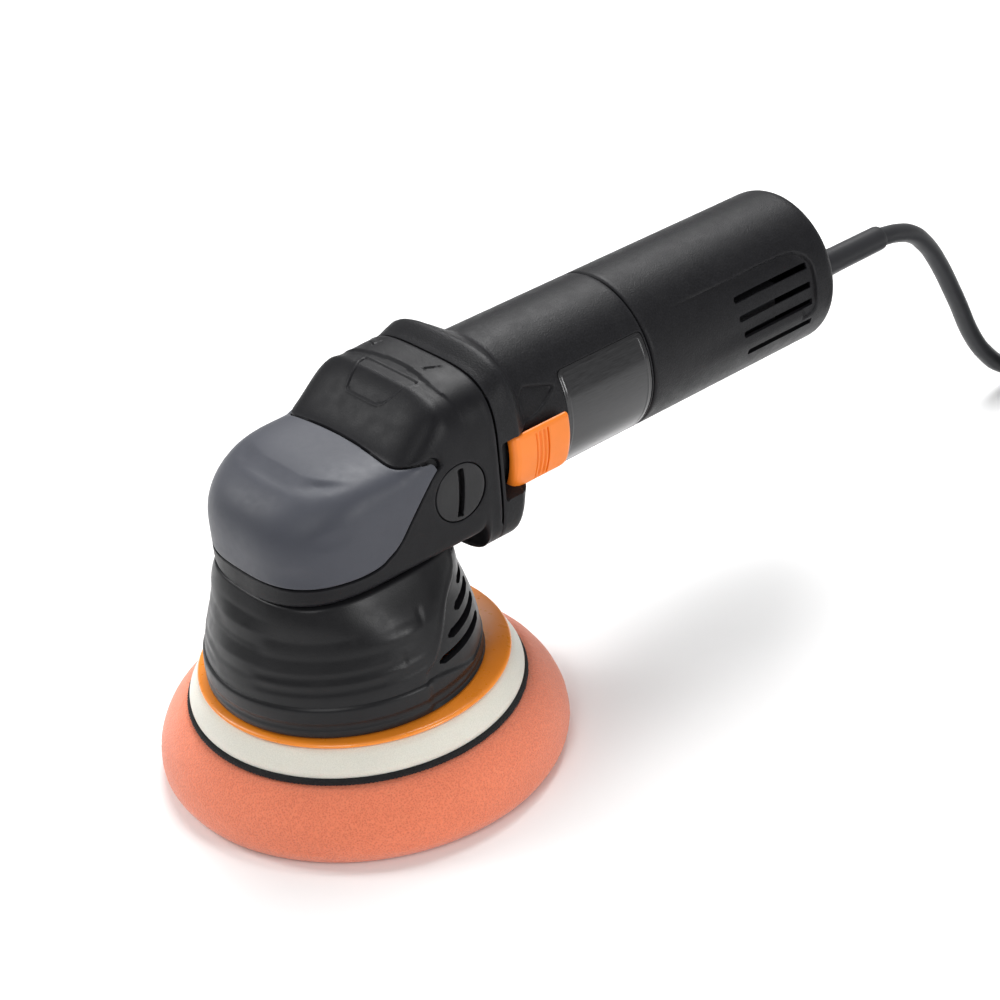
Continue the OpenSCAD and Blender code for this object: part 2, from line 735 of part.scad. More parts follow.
module switch_module() {
    color([0.15, 0.15, 0.16]) difference() {
        translate([12, 174.5, 103]) cube([13.6, 26, 20]);
        translate([18, 172, 106]) cube([3, 5, 3]);
    }
}

module speed_board() {
    color([0.12, 0.35, 0.20]) translate([-12, 170, 99]) cube([1.6, 32, 28]);
    color([0.15, 0.15, 0.16]) {
        translate([-10.4 - e, 173, 104]) cube([8, 14, 12]);
        translate([-10.4 - e, 190, 108]) cube([5, 8, 16]);
    }
    color([0.12, 0.35, 0.20]) translate([-12, 202 - e, 106]) cube([1.6, 18, 14]);
}

// Knurled thumbwheel whose edge stands out of the tail.
module speed_dial() {
    color(body_black) {
        along_x(dial_x, dial_y, axis_z) difference() {
            cylinder(r = dial_r, h = 6);
            for (k = [0 : 23]) rotate([0, 0, 15 * k]) translate([dial_r + 0.5, 0, -1]) cylinder(r = 1, h = 8, $fn = 24);
        }
        along_x(dial_x + 6 - e, dial_y, axis_z) cylinder(r = 2.2, h = 1.9);
    }
}

// ---- cord anchor
module cord_clamp()
    color([0.22, 0.20, 0.18]) difference() {
        translate([-9, 204, axis_z - barrel_r + 14.2]) cube([18, 9, cord_z + 8 - (axis_z - barrel_r + 14.2)]);
        translate([0, 203, cord_z]) rotate([-90, 0, 0]) cylinder(r = cord_d / 2, h = 12);
        for (x = [-6.8, 6.8]) translate([x, 208.5, 84]) cylinder(r = 1.3, h = 40);
    }

module clamp_screws()
    color(steel) for (x = [-6.8, 6.8]) translate([x, 208.5, 88]) screw(1.3, cord_z + 8 - 88, 2.1, 1.6);

boot_end = tail_y + 60;
module cord_boot()
    color(body_black) difference() {
        translate([0, tail_y - 8, cord_z]) rotate([-90, 0, 0]) rotate_extrude() polygon([
            [cord_d / 2, 0], [8.5, 0], [8.5, 5], [6.5, 5], [6.5, 8.5], [7.4, 9], [7.4, 11], [6.4, 12],
            [6.1, 18], [5.6, 30], [5.3, 42], [5.2, boot_end - tail_y + 6.5], [4.8, boot_end - tail_y + 8],
            [cord_d / 2, boot_end - tail_y + 8],
        ]);
        for (k = [0 : 2]) translate([0, tail_y + 7 + 4 * k, cord_z]) rotate([-90, 0, 0])
            tube(9, 5.4 - 0.1 * k, 1.4);
    }

// ---- cord: straight out of the boot, down to the ground in one slope, then to the coil
coil_x = 62;
coil_y = 404;
coil_mid = 44;
cord_route = [
    [0, 206, 102], [0, 222, 102], [0, 238, 102], [0, 254, 102], [0, 270, 102], [0, 290, 102], [0, 301, 100],
    [0, 311, 96], [0, 319, 89], [0, 326, 80], [1, 339, 56], [1, 352, 31], [2, 360, 20], [3, 370, 11],
    [5, 383, 6], [7, 396, 4.3], [10, 412, 4], [15, 428, 4], [24, 441, 4], [38, 451, 4], [54, 456, 4],
];
plug_route = [
    [62, 456, 28], [80, 456, 28], [98, 452, 25], [113, 444, 20], [124, 433, 14], [131, 420, 10], [134, 408, 9],
    [135, 396, 9],
];

// A tube whose rings stand square to the route at each of its points.
function unit(v) = v / norm(v);
function heading(route, i) = unit(route[min(len(route) - 1, i + 1)] - route[max(0, i - 1)]);
module cord_tube(route, r, sides)
    skin([
        for (i = [0 : len(route) - 1])
            let(
                d = heading(route, i),
                across = unit(cross(d, [0.05, 0.03, 1])),
                up = cross(across, d)
            )
            [for (k = [0 : sides - 1])
                let(a = -360 * k / sides) route[i] + r * (cos(a) * across + sin(a) * up)]
    ]);

module power_cord() {
    color(body_black) cord_tube(cord_route, cord_d / 2, 10);
    color(body_black) cord_tube(plug_route, cord_d / 2, 10);
}

module cord_coil() {
    band = cord_d * coil_wide;
    color(body_black) translate([coil_x, coil_y, 0])
        tube(coil_mid + band / 2, coil_mid - band / 2, cord_d * coil_high);
}

module cord_tie() {
    band = cord_d * coil_wide;
    color([0.08, 0.08, 0.09]) translate([coil_x, coil_y, 0]) rotate([0, 0, 40]) difference() {
        translate([coil_mid - band / 2 - 1.4, -5, 0]) cube([band + 2.8, 10, cord_d * coil_high + 1.4]);
        translate([0, 0, -1]) tube(coil_mid + band / 2, coil_mid - band / 2, cord_d * coil_high + 1);
    }
}

plug_x = 135;
plug_y = 396;
module plug_body() {
    color(body_black) translate([plug_x, plug_y, 9]) rotate([90, 0, 0]) {
        cylinder(r1 = 5, r2 = 8, h = 14);
        translate([0, 0, 14 - e]) cylinder(r = 9, h = 10);
        translate([0, 0, 24 - 2 * e]) linear_extrude(12)
            hull() for (x = [-9, 9]) translate([x, 0]) circle(r = 8.9, $fn = 32);
    }
}

module plug_pins()
    color(steel) for (x = [-9.5, 9.5]) translate([plug_x + x, plug_y - 36 + 2 * e, 9]) rotate([90, 0, 0]) {
        cylinder(r = 2.4, h = 18);
        translate([0, 0, 18 - e]) cylinder(r1 = 2.4, r2 = 1.4, h = 1);
    }

gear_case();
head_cover();
case_bottom_plate();
head_screws();
shroud();
handle_socket_plugs();
spindle_bearing_lower();
spindle_bearing_upper();
bearing_circlip();
spindle();
ring_gear();
eccentric_hub();
pad_bearings();
pad_spindle();
pad_bolt();
backing_plate();
plate_foam();
hook_disc();
foam_pad();
motor_housing();
flange_screws();
rear_housing();
rear_screws();
label_plate();
fan_baffle();
stator_core();
field_coils();
motor_bearing_front();
motor_bearing_rear();
brush_bridge();
brush_holders();
carbon_brushes();
brush_springs();
armature_shaft();
armature_core();
armature_winding();
commutator();
cooling_fan();
pinion();
switch_slider();
switch_rod();
switch_module();
speed_board();
speed_dial();
cord_clamp();
clamp_screws();
cord_boot();
power_cord();
cord_coil();
cord_tie();
plug_body();
plug_pins();
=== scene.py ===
import json
from math import cos, radians, sin

import bmesh
import bpy
import numpy as np
from mathutils import Matrix, Vector


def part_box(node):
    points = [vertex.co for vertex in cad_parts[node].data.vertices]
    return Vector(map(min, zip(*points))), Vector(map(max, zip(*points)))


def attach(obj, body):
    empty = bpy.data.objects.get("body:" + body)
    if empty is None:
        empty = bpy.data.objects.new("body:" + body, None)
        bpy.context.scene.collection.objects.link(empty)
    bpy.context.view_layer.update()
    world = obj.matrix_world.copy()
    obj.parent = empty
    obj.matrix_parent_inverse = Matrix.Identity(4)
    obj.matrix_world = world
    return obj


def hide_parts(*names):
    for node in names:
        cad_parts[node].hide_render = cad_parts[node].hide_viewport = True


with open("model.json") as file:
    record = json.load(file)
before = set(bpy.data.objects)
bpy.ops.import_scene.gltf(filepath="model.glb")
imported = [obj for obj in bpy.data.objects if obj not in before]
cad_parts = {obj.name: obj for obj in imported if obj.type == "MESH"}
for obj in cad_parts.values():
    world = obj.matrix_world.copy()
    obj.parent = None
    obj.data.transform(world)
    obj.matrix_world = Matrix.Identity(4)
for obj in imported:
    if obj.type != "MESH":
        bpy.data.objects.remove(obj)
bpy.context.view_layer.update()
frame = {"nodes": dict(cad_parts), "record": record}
SLOT_OF = {row["node"]: row["material_slot"] for row in frame["record"]["subparts"]}

MM = 0.001                       # shapes below are worked out in millimetres


# ---- sizes, from the frame
def low(node):
    return np.array(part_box(node)[0]) / MM


def high(node):
    return np.array(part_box(node)[1]) / MM


_, FLANGE_Y, FLANGE_LOW = low("motor_housing")      # joint between the gear case and the motor housing
FLANGE_W, _, COLLAR_TOP = high("motor_housing")
_, SPLIT_Y, BARREL_LOW = low("rear_housing")        # joint between the motor housing and the rear one
BARREL_R, TAIL_Y, BARREL_TOP = high("rear_housing")
BARREL_R = (BARREL_R - low("rear_housing")[0]) / 2
AXIS_Z = (BARREL_TOP + BARREL_LOW) / 2
HEAD_R = -low("gear_case")[1]
FLANGE_TOP = high("gear_case")[2]
HEAD_W, _, DOME_Z = high("head_cover") - (0.1, 0, 0)
_, LIP_R, LIP_Z = low("shroud") * (1, -1, 1)
NECK_Z = high("shroud")[2]
_, SOCKET, SOCKET_Z = (low("handle_socket_plugs") + high("handle_socket_plugs")) / 2
SOCKET_X = high("handle_socket_plugs")[0]
SOCKET_R = (high("handle_socket_plugs")[1] - low("handle_socket_plugs")[1]) / 2 + 0.3
PLATE_X, PLATE_Y, _ = (low("backing_plate") + high("backing_plate")) / 2
PLATE_FOOT = (PLATE_X, PLATE_Y, 0)
SLIDER_Y = low("switch_slider")[1]
SLIDER_R, SLIDER_END, _ = high("switch_slider")
LABEL_Y, LABEL_END = low("label_plate")[1], high("label_plate")[1]
CORD_Z = (low("cord_boot")[2] + high("cord_boot")[2]) / 2
BOOT_Y, BOOT_END = low("cord_boot")[1], high("cord_boot")[1]
CORD_D = 8.0
COIL_X, COIL_Y, _ = (low("cord_coil") + high("cord_coil")) / 2
COIL_HIGH = high("cord_coil")[2]
COVER_WALL, BARREL_WALL = 1.9, 2.5
FAR = 30.0                       # distance given to points that a shape doesn't reach


def disc(node):
    """Radius, lowest and highest points of a round part."""
    return (high(node)[0] - low(node)[0]) / 2, low(node)[2], high(node)[2]


def add_object(name, data):
    made = bpy.data.objects.new(name, data)
    bpy.context.scene.collection.objects.link(made)
    return made


# ---- camera
def add_camera():
    turn, rise, roll = radians(50.31), radians(30.55), radians(-4.61)
    forward = Vector((-sin(turn) * cos(rise), cos(turn) * cos(rise), -sin(rise)))
    side = Vector((cos(turn), sin(turn), 0))
    up = side.cross(forward)
    across = cos(roll) * side + sin(roll) * up
    upright = cos(roll) * up - sin(roll) * side
    data = bpy.data.cameras.new("camera")
    camera = add_object("camera", data)
    aim, away = Vector((0, 0.100, 0.070)), 0.91589
    place = aim - forward * away
    axes = Matrix((across, upright, -forward)).transposed()
    camera.matrix_world = Matrix.Translation(place) @ axes.to_4x4()
    data.sensor_width = 36
    data.lens = 86.92
    data.shift_x = -0.04557
    data.shift_y = -0.02035
    bpy.context.scene.camera = camera


# ---- shape helpers
def clamp01(t):
    return np.clip(t, 0, 1)


def ease(t):
    t = clamp01(t)
    return t * t * (3 - 2 * t)


def mix(a, b, t):
    return a + (b - a) * t


def power(v, p):
    return np.sign(v) * np.abs(v) ** p


def rounded(corners, radius, steps=6):
    """A closed outline whose corners are rounded; radius is one number or one for each corner."""
    corners = np.array(corners, float)
    radii = np.broadcast_to(radius, len(corners))
    out = []
    for i, corner in enumerate(corners):
        before, after = corners[i - 1] - corner, corners[(i + 1) % len(corners)] - corner
        reach = min(radii[i], 0.49 * np.linalg.norm(before), 0.49 * np.linalg.norm(after))
        start = corner + before / np.linalg.norm(before) * reach
        end = corner + after / np.linalg.norm(after) * reach
        for t in np.linspace(0, 1, steps if reach > 0 else 1):
            out.append((1 - t) ** 2 * start + 2 * t * (1 - t) * corner + t * t * end)
    return np.array(out)


def round_box(x0, y0, x1, y1, *how):
    return rounded([(x0, y0), (x1, y0), (x1, y1), (x0, y1)], *how)


def curve_through(points, steps=8):
    p = np.array(points, float)
    p = np.vstack([2 * p[0] - p[1], p, 2 * p[-1] - p[-2]])
    out = []
    for i in range(1, len(p) - 2):
        for t in np.arange(steps) / steps:
            out.append(0.5 * (2 * p[i] + (p[i + 1] - p[i - 1]) * t
                              + (2 * p[i - 1] - 5 * p[i] + 4 * p[i + 1] - p[i + 2]) * t ** 2
                              + (3 * p[i] - p[i - 1] - 3 * p[i + 1] + p[i + 2]) * t ** 3))
    return np.array(out + [p[-2]])


def off_line(points, line):
    """Distance of 2-D points from an open line."""
    nearest = np.full(len(points), np.inf)
    for start, end in zip(line[:-1], line[1:]):
        step = end - start
        t = clamp01((points - start) @ step / (step @ step))
        nearest = np.minimum(nearest, np.linalg.norm(points - start - t[:, None] * step, axis=1))
    return nearest


def off_outline(points, outline):
    """Distance of 2-D points from a closed outline, negative inside it."""
    outline = np.array(outline, float)
    inside = np.zeros(len(points), bool)
    for start, end in zip(outline, np.roll(outline, -1, axis=0)):
        spans = (start[1] > points[:, 1]) != (end[1] > points[:, 1])
        rise = end[1] - start[1] or 1e-9
        inside ^= spans & (points[:, 0] < start[0] + (points[:, 1] - start[1]) * (end[0] - start[0]) / rise)
    away = off_line(points, np.vstack([outline, outline[:1]]))
    return np.where(inside, -away, away)


# ---- mesh helpers
def outward(bm):
    """The mesh with its faces turned outwards."""
    bmesh.ops.recalc_face_normals(bm, faces=bm.faces)
    bm.normal_update()
    return bm


def skin(rings, closed=True):
    """A mesh over rings of points, with a cap on each end."""
    rings = np.array(rings, float)
    count, n = rings.shape[:2]
    bm = bmesh.new()
    verts = [bm.verts.new(p) for p in rings.reshape(-1, 3)]
    for k in range(count - 1):
        for i in range(n):
            j = (i + 1) % n
            bm.faces.new([verts[q] for q in (k * n + i, (k + 1) * n + i, (k + 1) * n + j, k * n + j)])
    if closed:
        bm.faces.new(verts[:n])
        bm.faces.new(verts[:-n - 1:-1])
    return outward(bm)


def places(bm):
    return np.array([v.co for v in bm.verts], float)


def cut(bm, field, *levels):
    """Adds edges where a field of the points crosses each level."""
    for level in levels:
        values = field(places(bm)) - level
        values[np.abs(values) < 1e-3] = 1e-3
        bm.verts.index_update()
        made = set()
        for edge in list(bm.edges):
            a, b = values[edge.verts[0].index], values[edge.verts[1].index]
            if a * b < 0:
                made.add(bmesh.utils.edge_split(edge, edge.verts[0], a / (a - b))[1])
        for face in list({f for v in made for f in v.link_faces}):
            marked = [v for v in face.verts if v in made]
            if len(marked) == 2:
                bmesh.utils.face_split(face, marked[0], marked[1])
            elif len(marked) == 4:
                other = bmesh.utils.face_split(face, marked[0], marked[1])[0]
                rest = face if marked[2] in face.verts and marked[3] in face.verts else other
                if marked[2] in rest.verts and marked[3] in rest.verts:
                    bmesh.utils.face_split(rest, marked[2], marked[3])
        bm.verts.index_update()


def push(bm, amount):
    """Moves each point along its normal by amount(points)."""
    bm.normal_update()
    far = amount(places(bm))
    for vert, normal, d in zip(bm.verts, [v.normal.copy() for v in bm.verts], far):
        vert.co += normal * float(d)


def put(bm, new_places):
    """Moves each point to new_places(points)."""
    for vert, p in zip(bm.verts, new_places(places(bm))):
        vert.co = p


def keep(bm, wanted):
    """Deletes the faces whose middles aren't wanted."""
    middles = np.array([f.calc_center_median() for f in bm.faces])
    gone = [f for f, w in zip(list(bm.faces), wanted(middles)) if not w]
    bmesh.ops.delete(bm, geom=gone, context="FACES")


def profile(d, *pairs):
    """Straight between the (distance, height) pairs."""
    return np.interp(d, [p[0] for p in pairs], [p[1] for p in pairs])


def smoothed(mesh, sharp):
    mesh.shade_smooth()
    mesh.set_sharp_from_angle(angle=radians(sharp))
    return mesh


def to_object(bm, name, sharp=38):
    """The mesh as an object in metres, smooth but for its sharp edges."""
    bmesh.ops.scale(bm, vec=(MM, MM, MM), verts=bm.verts)
    mesh = bpy.data.meshes.new(name)
    bm.to_mesh(mesh)
    bm.free()
    return add_object(name, smoothed(mesh, sharp))


def applied(piece, sharp=38):
    depsgraph = bpy.context.evaluated_depsgraph_get()
    depsgraph.update()
    mesh = bpy.data.meshes.new_from_object(piece.evaluated_get(depsgraph))
    piece.modifiers.clear()
    piece.data = smoothed(mesh, sharp)
    return piece


def thickened(piece, thickness, sharp=38):
    """An open sheet becomes a closed plate, thickness mm inwards."""
    solid = piece.modifiers.new("thickness", "SOLIDIFY")
    solid.thickness = thickness * MM
    solid.offset = -1
    return applied(piece, sharp)


def cutter(bm):
    return to_object(bm, "cutter")


def carved(piece, cutters, sharp=38):
    """The piece without the space that the cutters fill."""
    for one in cutters:
        hole = piece.modifiers.new("hole", "BOOLEAN")
        hole.operation = "DIFFERENCE"
        hole.solver = "MANIFOLD"
        hole.object = one
    applied(piece, sharp)
    for one in cutters:
        bpy.data.objects.remove(one)
    return piece


def lathe(outline, count=96, at=(0, 0, 0), along="Z"):
    """A mesh turned from (radius, height) points, from its lower end up."""
    rings = []
    for r, h in outline:
        a = -2 * np.pi * np.arange(count) / count
        x, y = max(r, 0.02) * np.cos(a), max(r, 0.02) * np.sin(a)
        z = np.full(count, float(h))
        ring = {"Z": (x, -y, z), "Y": (x, z, y), "X": (z, -x, y)}[along]
        rings.append(np.stack(ring, axis=1) + np.array(at))
    return skin(rings)


def ring_lathe(outline, count=96, at=(0, 0, 0), along="Z"):
    """The same for a closed outline round a hole."""
    bm = lathe(list(outline) + [outline[0]], count, at, along)
    caps = [f for f in bm.faces if len(f.verts) == count]
    bmesh.ops.delete(bm, geom=caps, context="FACES_ONLY")
    bmesh.ops.remove_doubles(bm, verts=bm.verts, dist=1e-4)
    return outward(bm)


def merge(bm, other):
    """Adds another mesh to this one."""
    mesh = bpy.data.meshes.new("part")
    other.to_mesh(mesh)
    bm.from_mesh(mesh)
    other.free()


def rod(r, start, length, along="Z", count=64):
    """A plain round cutter."""
    return cutter(lathe([(r, 0), (r, length)], count, start, along))


def add_block(bm, lowest, highest):
    middle, size = (np.array(lowest) + highest) / 2, np.array(highest, float) - lowest
    for v in bmesh.ops.create_cube(bm, size=1)["verts"]:
        v.co = Vector(middle + size * np.array(v.co))


def block(lowest, highest):
    """A plain square cutter."""
    bm = bmesh.new()
    add_block(bm, lowest, highest)
    return cutter(bm)


def mount(piece, body, slot):
    """The piece rides on a body and takes a slot's finish."""
    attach(piece, body)
    piece.data.materials.clear()
    piece.data.materials.append(MATERIALS[slot])


def seat(piece, body, node, *more):
    """The piece rides on a body, stands for its CAD nodes and takes the first one's finish."""
    mount(piece, body, SLOT_OF[node])
    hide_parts(node, *more)
    return piece


# ---- materials
class Nodes:
    """A material's node tree, with short calls for what the finishes below share."""

    def __init__(self, name):
        self.material = bpy.data.materials.new(name)
        self.material.use_nodes = True
        self.tree = self.material.node_tree
        self.shader = self.tree.nodes["Principled BSDF"]
        self.space = self.add("ShaderNodeTexCoord").outputs["Object"]
        self.normal = None

    def add(self, kind, inputs=(), **values):
        node = self.tree.nodes.new(kind)
        for key, value in values.items():
            setattr(node, key, value)
        for key, value in dict(inputs).items():
            node.inputs[key].default_value = value
        return node

    def join(self, a, b):
        self.tree.links.new(a, b)

    def fed(self, source, socket, output, *args, **values):
        """The output of a new node whose socket is fed by the source."""
        node = self.add(*args, **values)
        self.join(source, node.inputs[socket])
        return node.outputs[output]

    def stretch(self, scale):
        """Coordinates scaled by a different amount along each axis."""
        return self.fed(self.space, "Vector", "Vector", "ShaderNodeMapping", {"Scale": scale})

    def noise(self, size_mm, detail=2.0, rough=0.5, space=None):
        return self.fed(space or self.space, "Vector", "Fac", "ShaderNodeTexNoise",
                {"Scale": 1000 / size_mm, "Detail": detail, "Roughness": rough})

    def cells(self, size_mm):
        return self.fed(self.space, "Vector", "Distance", "ShaderNodeTexVoronoi", {"Scale": 1000 / size_mm})

    def wave(self, direction, scale, distortion):
        return self.fed(self.space, "Vector", "Fac", "ShaderNodeTexWave",
                {"Scale": scale, "Distortion": distortion}, bands_direction=direction)

    def spread(self, value, low_in, high_in, low_out, high_out):
        return self.fed(value, "Value", "Result", "ShaderNodeMapRange",
                {"From Min": low_in, "From Max": high_in, "To Min": low_out, "To Max": high_out})

    def between(self, value, lowest, highest):
        """The middle of a noise's range, spread from the lowest value to the highest."""
        return self.spread(value, 0.3, 0.7, lowest, highest)

    def tones(self, value, colour, dark, light):
        return self.colours(self.between(value, 0, 1), shade(colour, dark), shade(colour, light))

    def colours(self, value, first, second):
        node = self.add("ShaderNodeMix", data_type="RGBA")
        self.join(value, node.inputs["Factor"])
        for key, colour in (("A", first), ("B", second)):
            socket = [s for s in node.inputs if s.name == key and s.type == "RGBA"][0]
            if isinstance(colour, bpy.types.NodeSocket):
                self.join(colour, socket)
            else:
                socket.default_value = (*colour, 1)
        return [s for s in node.outputs if s.type == "RGBA"][0]

    def bump(self, value, strength, depth_mm):
        node = self.add("ShaderNodeBump", {"Strength": strength, "Distance": depth_mm * MM})
        self.join(value, node.inputs["Height"])
        if self.normal:
            self.join(self.normal, node.inputs["Normal"])
        self.normal = node.outputs["Normal"]
        self.join(self.normal, self.shader.inputs["Normal"])

    def edges(self):
        """Where the surface turns outwards, along convex edges, where the plastics get a painted highlight."""
        return self.spread(self.add("ShaderNodeNewGeometry").outputs["Pointiness"], 0.51, 0.56, 0, 1)

    def set(self, **values):
        for key, value in values.items():
            self.shader.inputs[key.replace("_", " ")].default_value = value
        return self

    def colour(self, value):
        self.join(value, self.shader.inputs["Base Color"])

    def rough(self, value):
        self.join(value, self.shader.inputs["Roughness"])


def shade(colour, amount):
    return tuple(c * amount for c in colour)


SHINE = {"plate_orange": 0.5, "switch_orange": 0.4, "board_green": 0.5, "shroud_black": 0.26,
        "plug_black": 0.3}


def plastic(name, colour, rough, grain_mm=0.45, grain=0.25, edge_highlight=0.5, coat=0.0):
    """Moulded plastic: a fine grain, slow mottling, and a painted highlight that lightens its convex edges."""
    m = Nodes(name).set(IOR=1.5, Coat_Weight=coat, Specular_IOR_Level=SHINE.get(name, 0.16))
    mottle = m.noise(14, 3)
    fine = m.noise(grain_mm, 2, 0.6)
    tone = m.tones(mottle, colour, 0.95, 1.04)
    speck = m.colours(m.spread(fine, 0.35, 0.75, 0, min(0.6, grain)), tone, shade(colour, 1 + 2 * grain))
    # painted highlight: convex edges are lightened up to 2.6 times the colour, standing in for light along
    # them
    highlighted_edges = m.colours(m.spread(m.edges(), 0, 1, 0, edge_highlight), speck, shade(colour, 2.6))
    m.colour(highlighted_edges)
    m.rough(m.between(m.noise(5, 4), rough - 0.05, rough + 0.06))
    m.bump(fine, grain, 0.16)
    m.bump(m.noise(12, 1), 0.02, 0.2)
    return m.material


def elastomer(name, colour, rough):
    """Soft-touch skin: nearly smooth, with a faint sheen and very fine grain."""
    m = Nodes(name).set(IOR=1.45, Sheen_Weight=0.1, Sheen_Roughness=0.45, Specular_IOR_Level=0.34)
    slow, fine = m.noise(22, 3), m.noise(0.32, 2)
    tone = m.tones(slow, colour, 0.93, 1.06)
    m.colour(m.colours(m.spread(fine, 0.3, 0.8, 0, 0.3), tone, shade(colour, 1.25)))
    m.rough(m.between(m.noise(3, 4), rough - 0.04, rough + 0.05))
    m.bump(fine, 0.10, 0.05)
    return m.material


def foam(name, colour, deep, pore_mm, strength, rough=0.9):
    """Open-cell foam: pores as small cells with painted shade in them, over a slow change of tone."""
    m = Nodes(name).set(IOR=1.35, Sheen_Weight=0.35, Sheen_Roughness=0.6)
    m.shader.inputs["Subsurface Weight"].default_value = 0.12
    m.shader.inputs["Subsurface Radius"].default_value = (0.004, 0.0015, 0.001)
    m.shader.inputs["Subsurface Scale"].default_value = 0.5
    pores, small, slow = m.cells(pore_mm), m.noise(pore_mm * 0.7, 3, 0.6), m.noise(30, 2)
    tone = m.tones(slow, colour, 0.96, 1.03)
    # painted shade: the pores' pits take the darker deep colour, standing in for shade inside them
    pores_shaded = m.colours(m.spread(pores, 0.1, 0.7, 0.6, 0), tone, deep)
    m.colour(m.colours(m.spread(small, 0.4, 0.7, 0, 0.5), pores_shaded, shade(colour, 1.2)))
    m.rough(m.between(small, rough - 0.08, rough + 0.05))
    m.bump(pores, strength, 0.35)
    m.bump(small, strength, 0.2)
    return m.material


def metal(name, colour, rough, size_mm=0.6, stretch=None):
    """Machined or drawn metal: fine marks and slow staining."""
    m = Nodes(name).set(Metallic=1.0)
    space = m.stretch(stretch) if stretch else None
    marks, slow = m.noise(size_mm, 3, 0.6, space), m.noise(8, 3)
    tone = m.tones(slow, colour, 0.82, 1)
    m.colour(m.colours(m.between(marks, 0, 0.4), tone, shade(colour, 1.1)))
    m.rough(m.between(marks, rough - 0.08, rough + 0.1))
    m.bump(marks, 0.12, 0.04)
    return m.material


def label(name):
    m = Nodes(name).set(Metallic=0.35, Coat_Weight=0.5, Coat_Roughness=0.12)
    brush = m.noise(0.3, 2, 0.5, m.stretch((1, 0.06, 1)))
    m.colour(m.colours(m.between(brush, 0, 1), (0.010, 0.010, 0.011), (0.020, 0.020, 0.022)))
    m.rough(m.between(brush, 0.3, 0.42))
    m.bump(brush, 0.08, 0.03)
    return m.material


def fuzz(name, colour):
    m = Nodes(name).set(Sheen_Weight=0.06, Sheen_Roughness=0.5, Roughness=0.95)
    pile = m.noise(0.5, 3, 0.7)
    m.colour(m.colours(m.spread(pile, 0.35, 0.7, 0, 1), shade(colour, 0.5), shade(colour, 1.8)))
    m.bump(pile, 0.8, 0.4)
    return m.material


def winding(name):
    m = Nodes(name).set(Metallic=0.9, Coat_Weight=0.4, Coat_Roughness=0.15)
    wave = m.wave("DIAGONAL", 420, 1.5)
    # painted shade and highlight: darker copper in the grooves between the wire turns, brighter copper on
    # their crests
    m.colour(m.colours(wave, (0.28, 0.07, 0.02), (0.72, 0.27, 0.10)))
    m.rough(m.between(m.noise(2), 0.28, 0.42))
    m.bump(wave, 0.6, 0.25)
    return m.material


def laminations(name):
    """A stack of thin iron sheets along the motor's axis."""
    m = Nodes(name).set(Metallic=0.9)
    wave = m.wave("Y", 320, 0.4)
    m.colour(m.colours(wave, (0.10, 0.10, 0.105), (0.34, 0.34, 0.35)))
    m.rough(m.between(m.noise(1.5), 0.38, 0.55))
    m.bump(wave, 0.4, 0.1)
    return m.material


def floor_paint(name):
    m = Nodes(name)
    m.colour(m.colours(m.noise(60, 2), (0.93, 0.93, 0.93), (0.95, 0.95, 0.95)))
    m.rough(m.between(m.noise(4), 0.75, 0.85))
    return m.material


FINISHES = {                     # each slot's kind of finish and its values
    "housing_black": (plastic, (0.0070, 0.0070, 0.0080), 0.42, 0.6, 0.9, 0.35),
    "case_black": (plastic, (0.0066, 0.0066, 0.0078), 0.42, 0.5, 0.42, 0.4),
    "cover_gray": (elastomer, (0.052, 0.055, 0.068), 0.46),
    "shroud_black": (plastic, (0.007, 0.007, 0.008), 0.36, 0.5, 0.25, 0.3),
    "plug_black": (plastic, (0.009, 0.009, 0.010), 0.36, 0.6, 0.2, 0.5),
    "label_dark": (label,),
    "switch_orange": (plastic, (0.86, 0.21, 0.014), 0.40, 0.5, 0.06, 0.0, 0.1),
    "plate_orange": (plastic, (0.90, 0.27, 0.022), 0.30, 0.8, 0.01, 0.0, 0.3),
    # for the foams, the second colour is the painted shade inside the pores
    "foam_coral": (foam, (0.80, 0.215, 0.105), (0.50, 0.07, 0.028), 0.7, 0.6),
    "foam_cream": (foam, (0.70, 0.68, 0.60), (0.60, 0.58, 0.50), 0.5, 0.1, 0.5),
    "hook_black": (fuzz, (0.005, 0.005, 0.006)),
    "steel": (metal, (0.62, 0.62, 0.64), 0.28, 0.5),
    "zinc_screw": (metal, (0.66, 0.66, 0.62), 0.34, 1.2),
    "cast_alloy": (metal, (0.46, 0.46, 0.47), 0.5, 0.9),
    "balance_iron": (metal, (0.30, 0.30, 0.31), 0.55, 0.7),
    "laminated_steel": (laminations,),
    "copper": (winding,),
    "brass": (metal, (0.72, 0.52, 0.22), 0.3, 0.5),
    "carbon": (plastic, (0.02, 0.02, 0.022), 0.55, 0.3, 0.2, 0.3),
    "phenolic": (plastic, (0.055, 0.035, 0.022), 0.45, 0.4, 0.15, 0.3),
    "board_green": (plastic, (0.02, 0.12, 0.045), 0.4, 0.6, 0.12, 0.3, 0.2),
    "cord_rubber": (elastomer, (0.016, 0.0165, 0.019), 0.45),
}
MATERIALS = {name: make(name, *values) for name, (make, *values) in FINISHES.items()}


# ---- cord
CORD_ROUTE = [
    (0, 290, 102), (0, 301, 100), (0, 311, 96), (0, 319, 89), (0, 326, 80), (1, 339, 56), (1, 352, 31),
    (2, 360, 20), (3, 370, 11), (5, 383, 6), (7, 396, 4.3), (10, 412, 4), (15, 428, 4), (24, 441, 4),
    (38, 451, 4), (54, 456, 4),
]
PLUG_ROUTE = [
    (80, 456, 28), (98, 452, 25), (113, 444, 20), (124, 433, 14), (131, 420, 10), (134, 408, 9), (135, 396, 9),
]
COIL_RADII = (52, 44, 36)


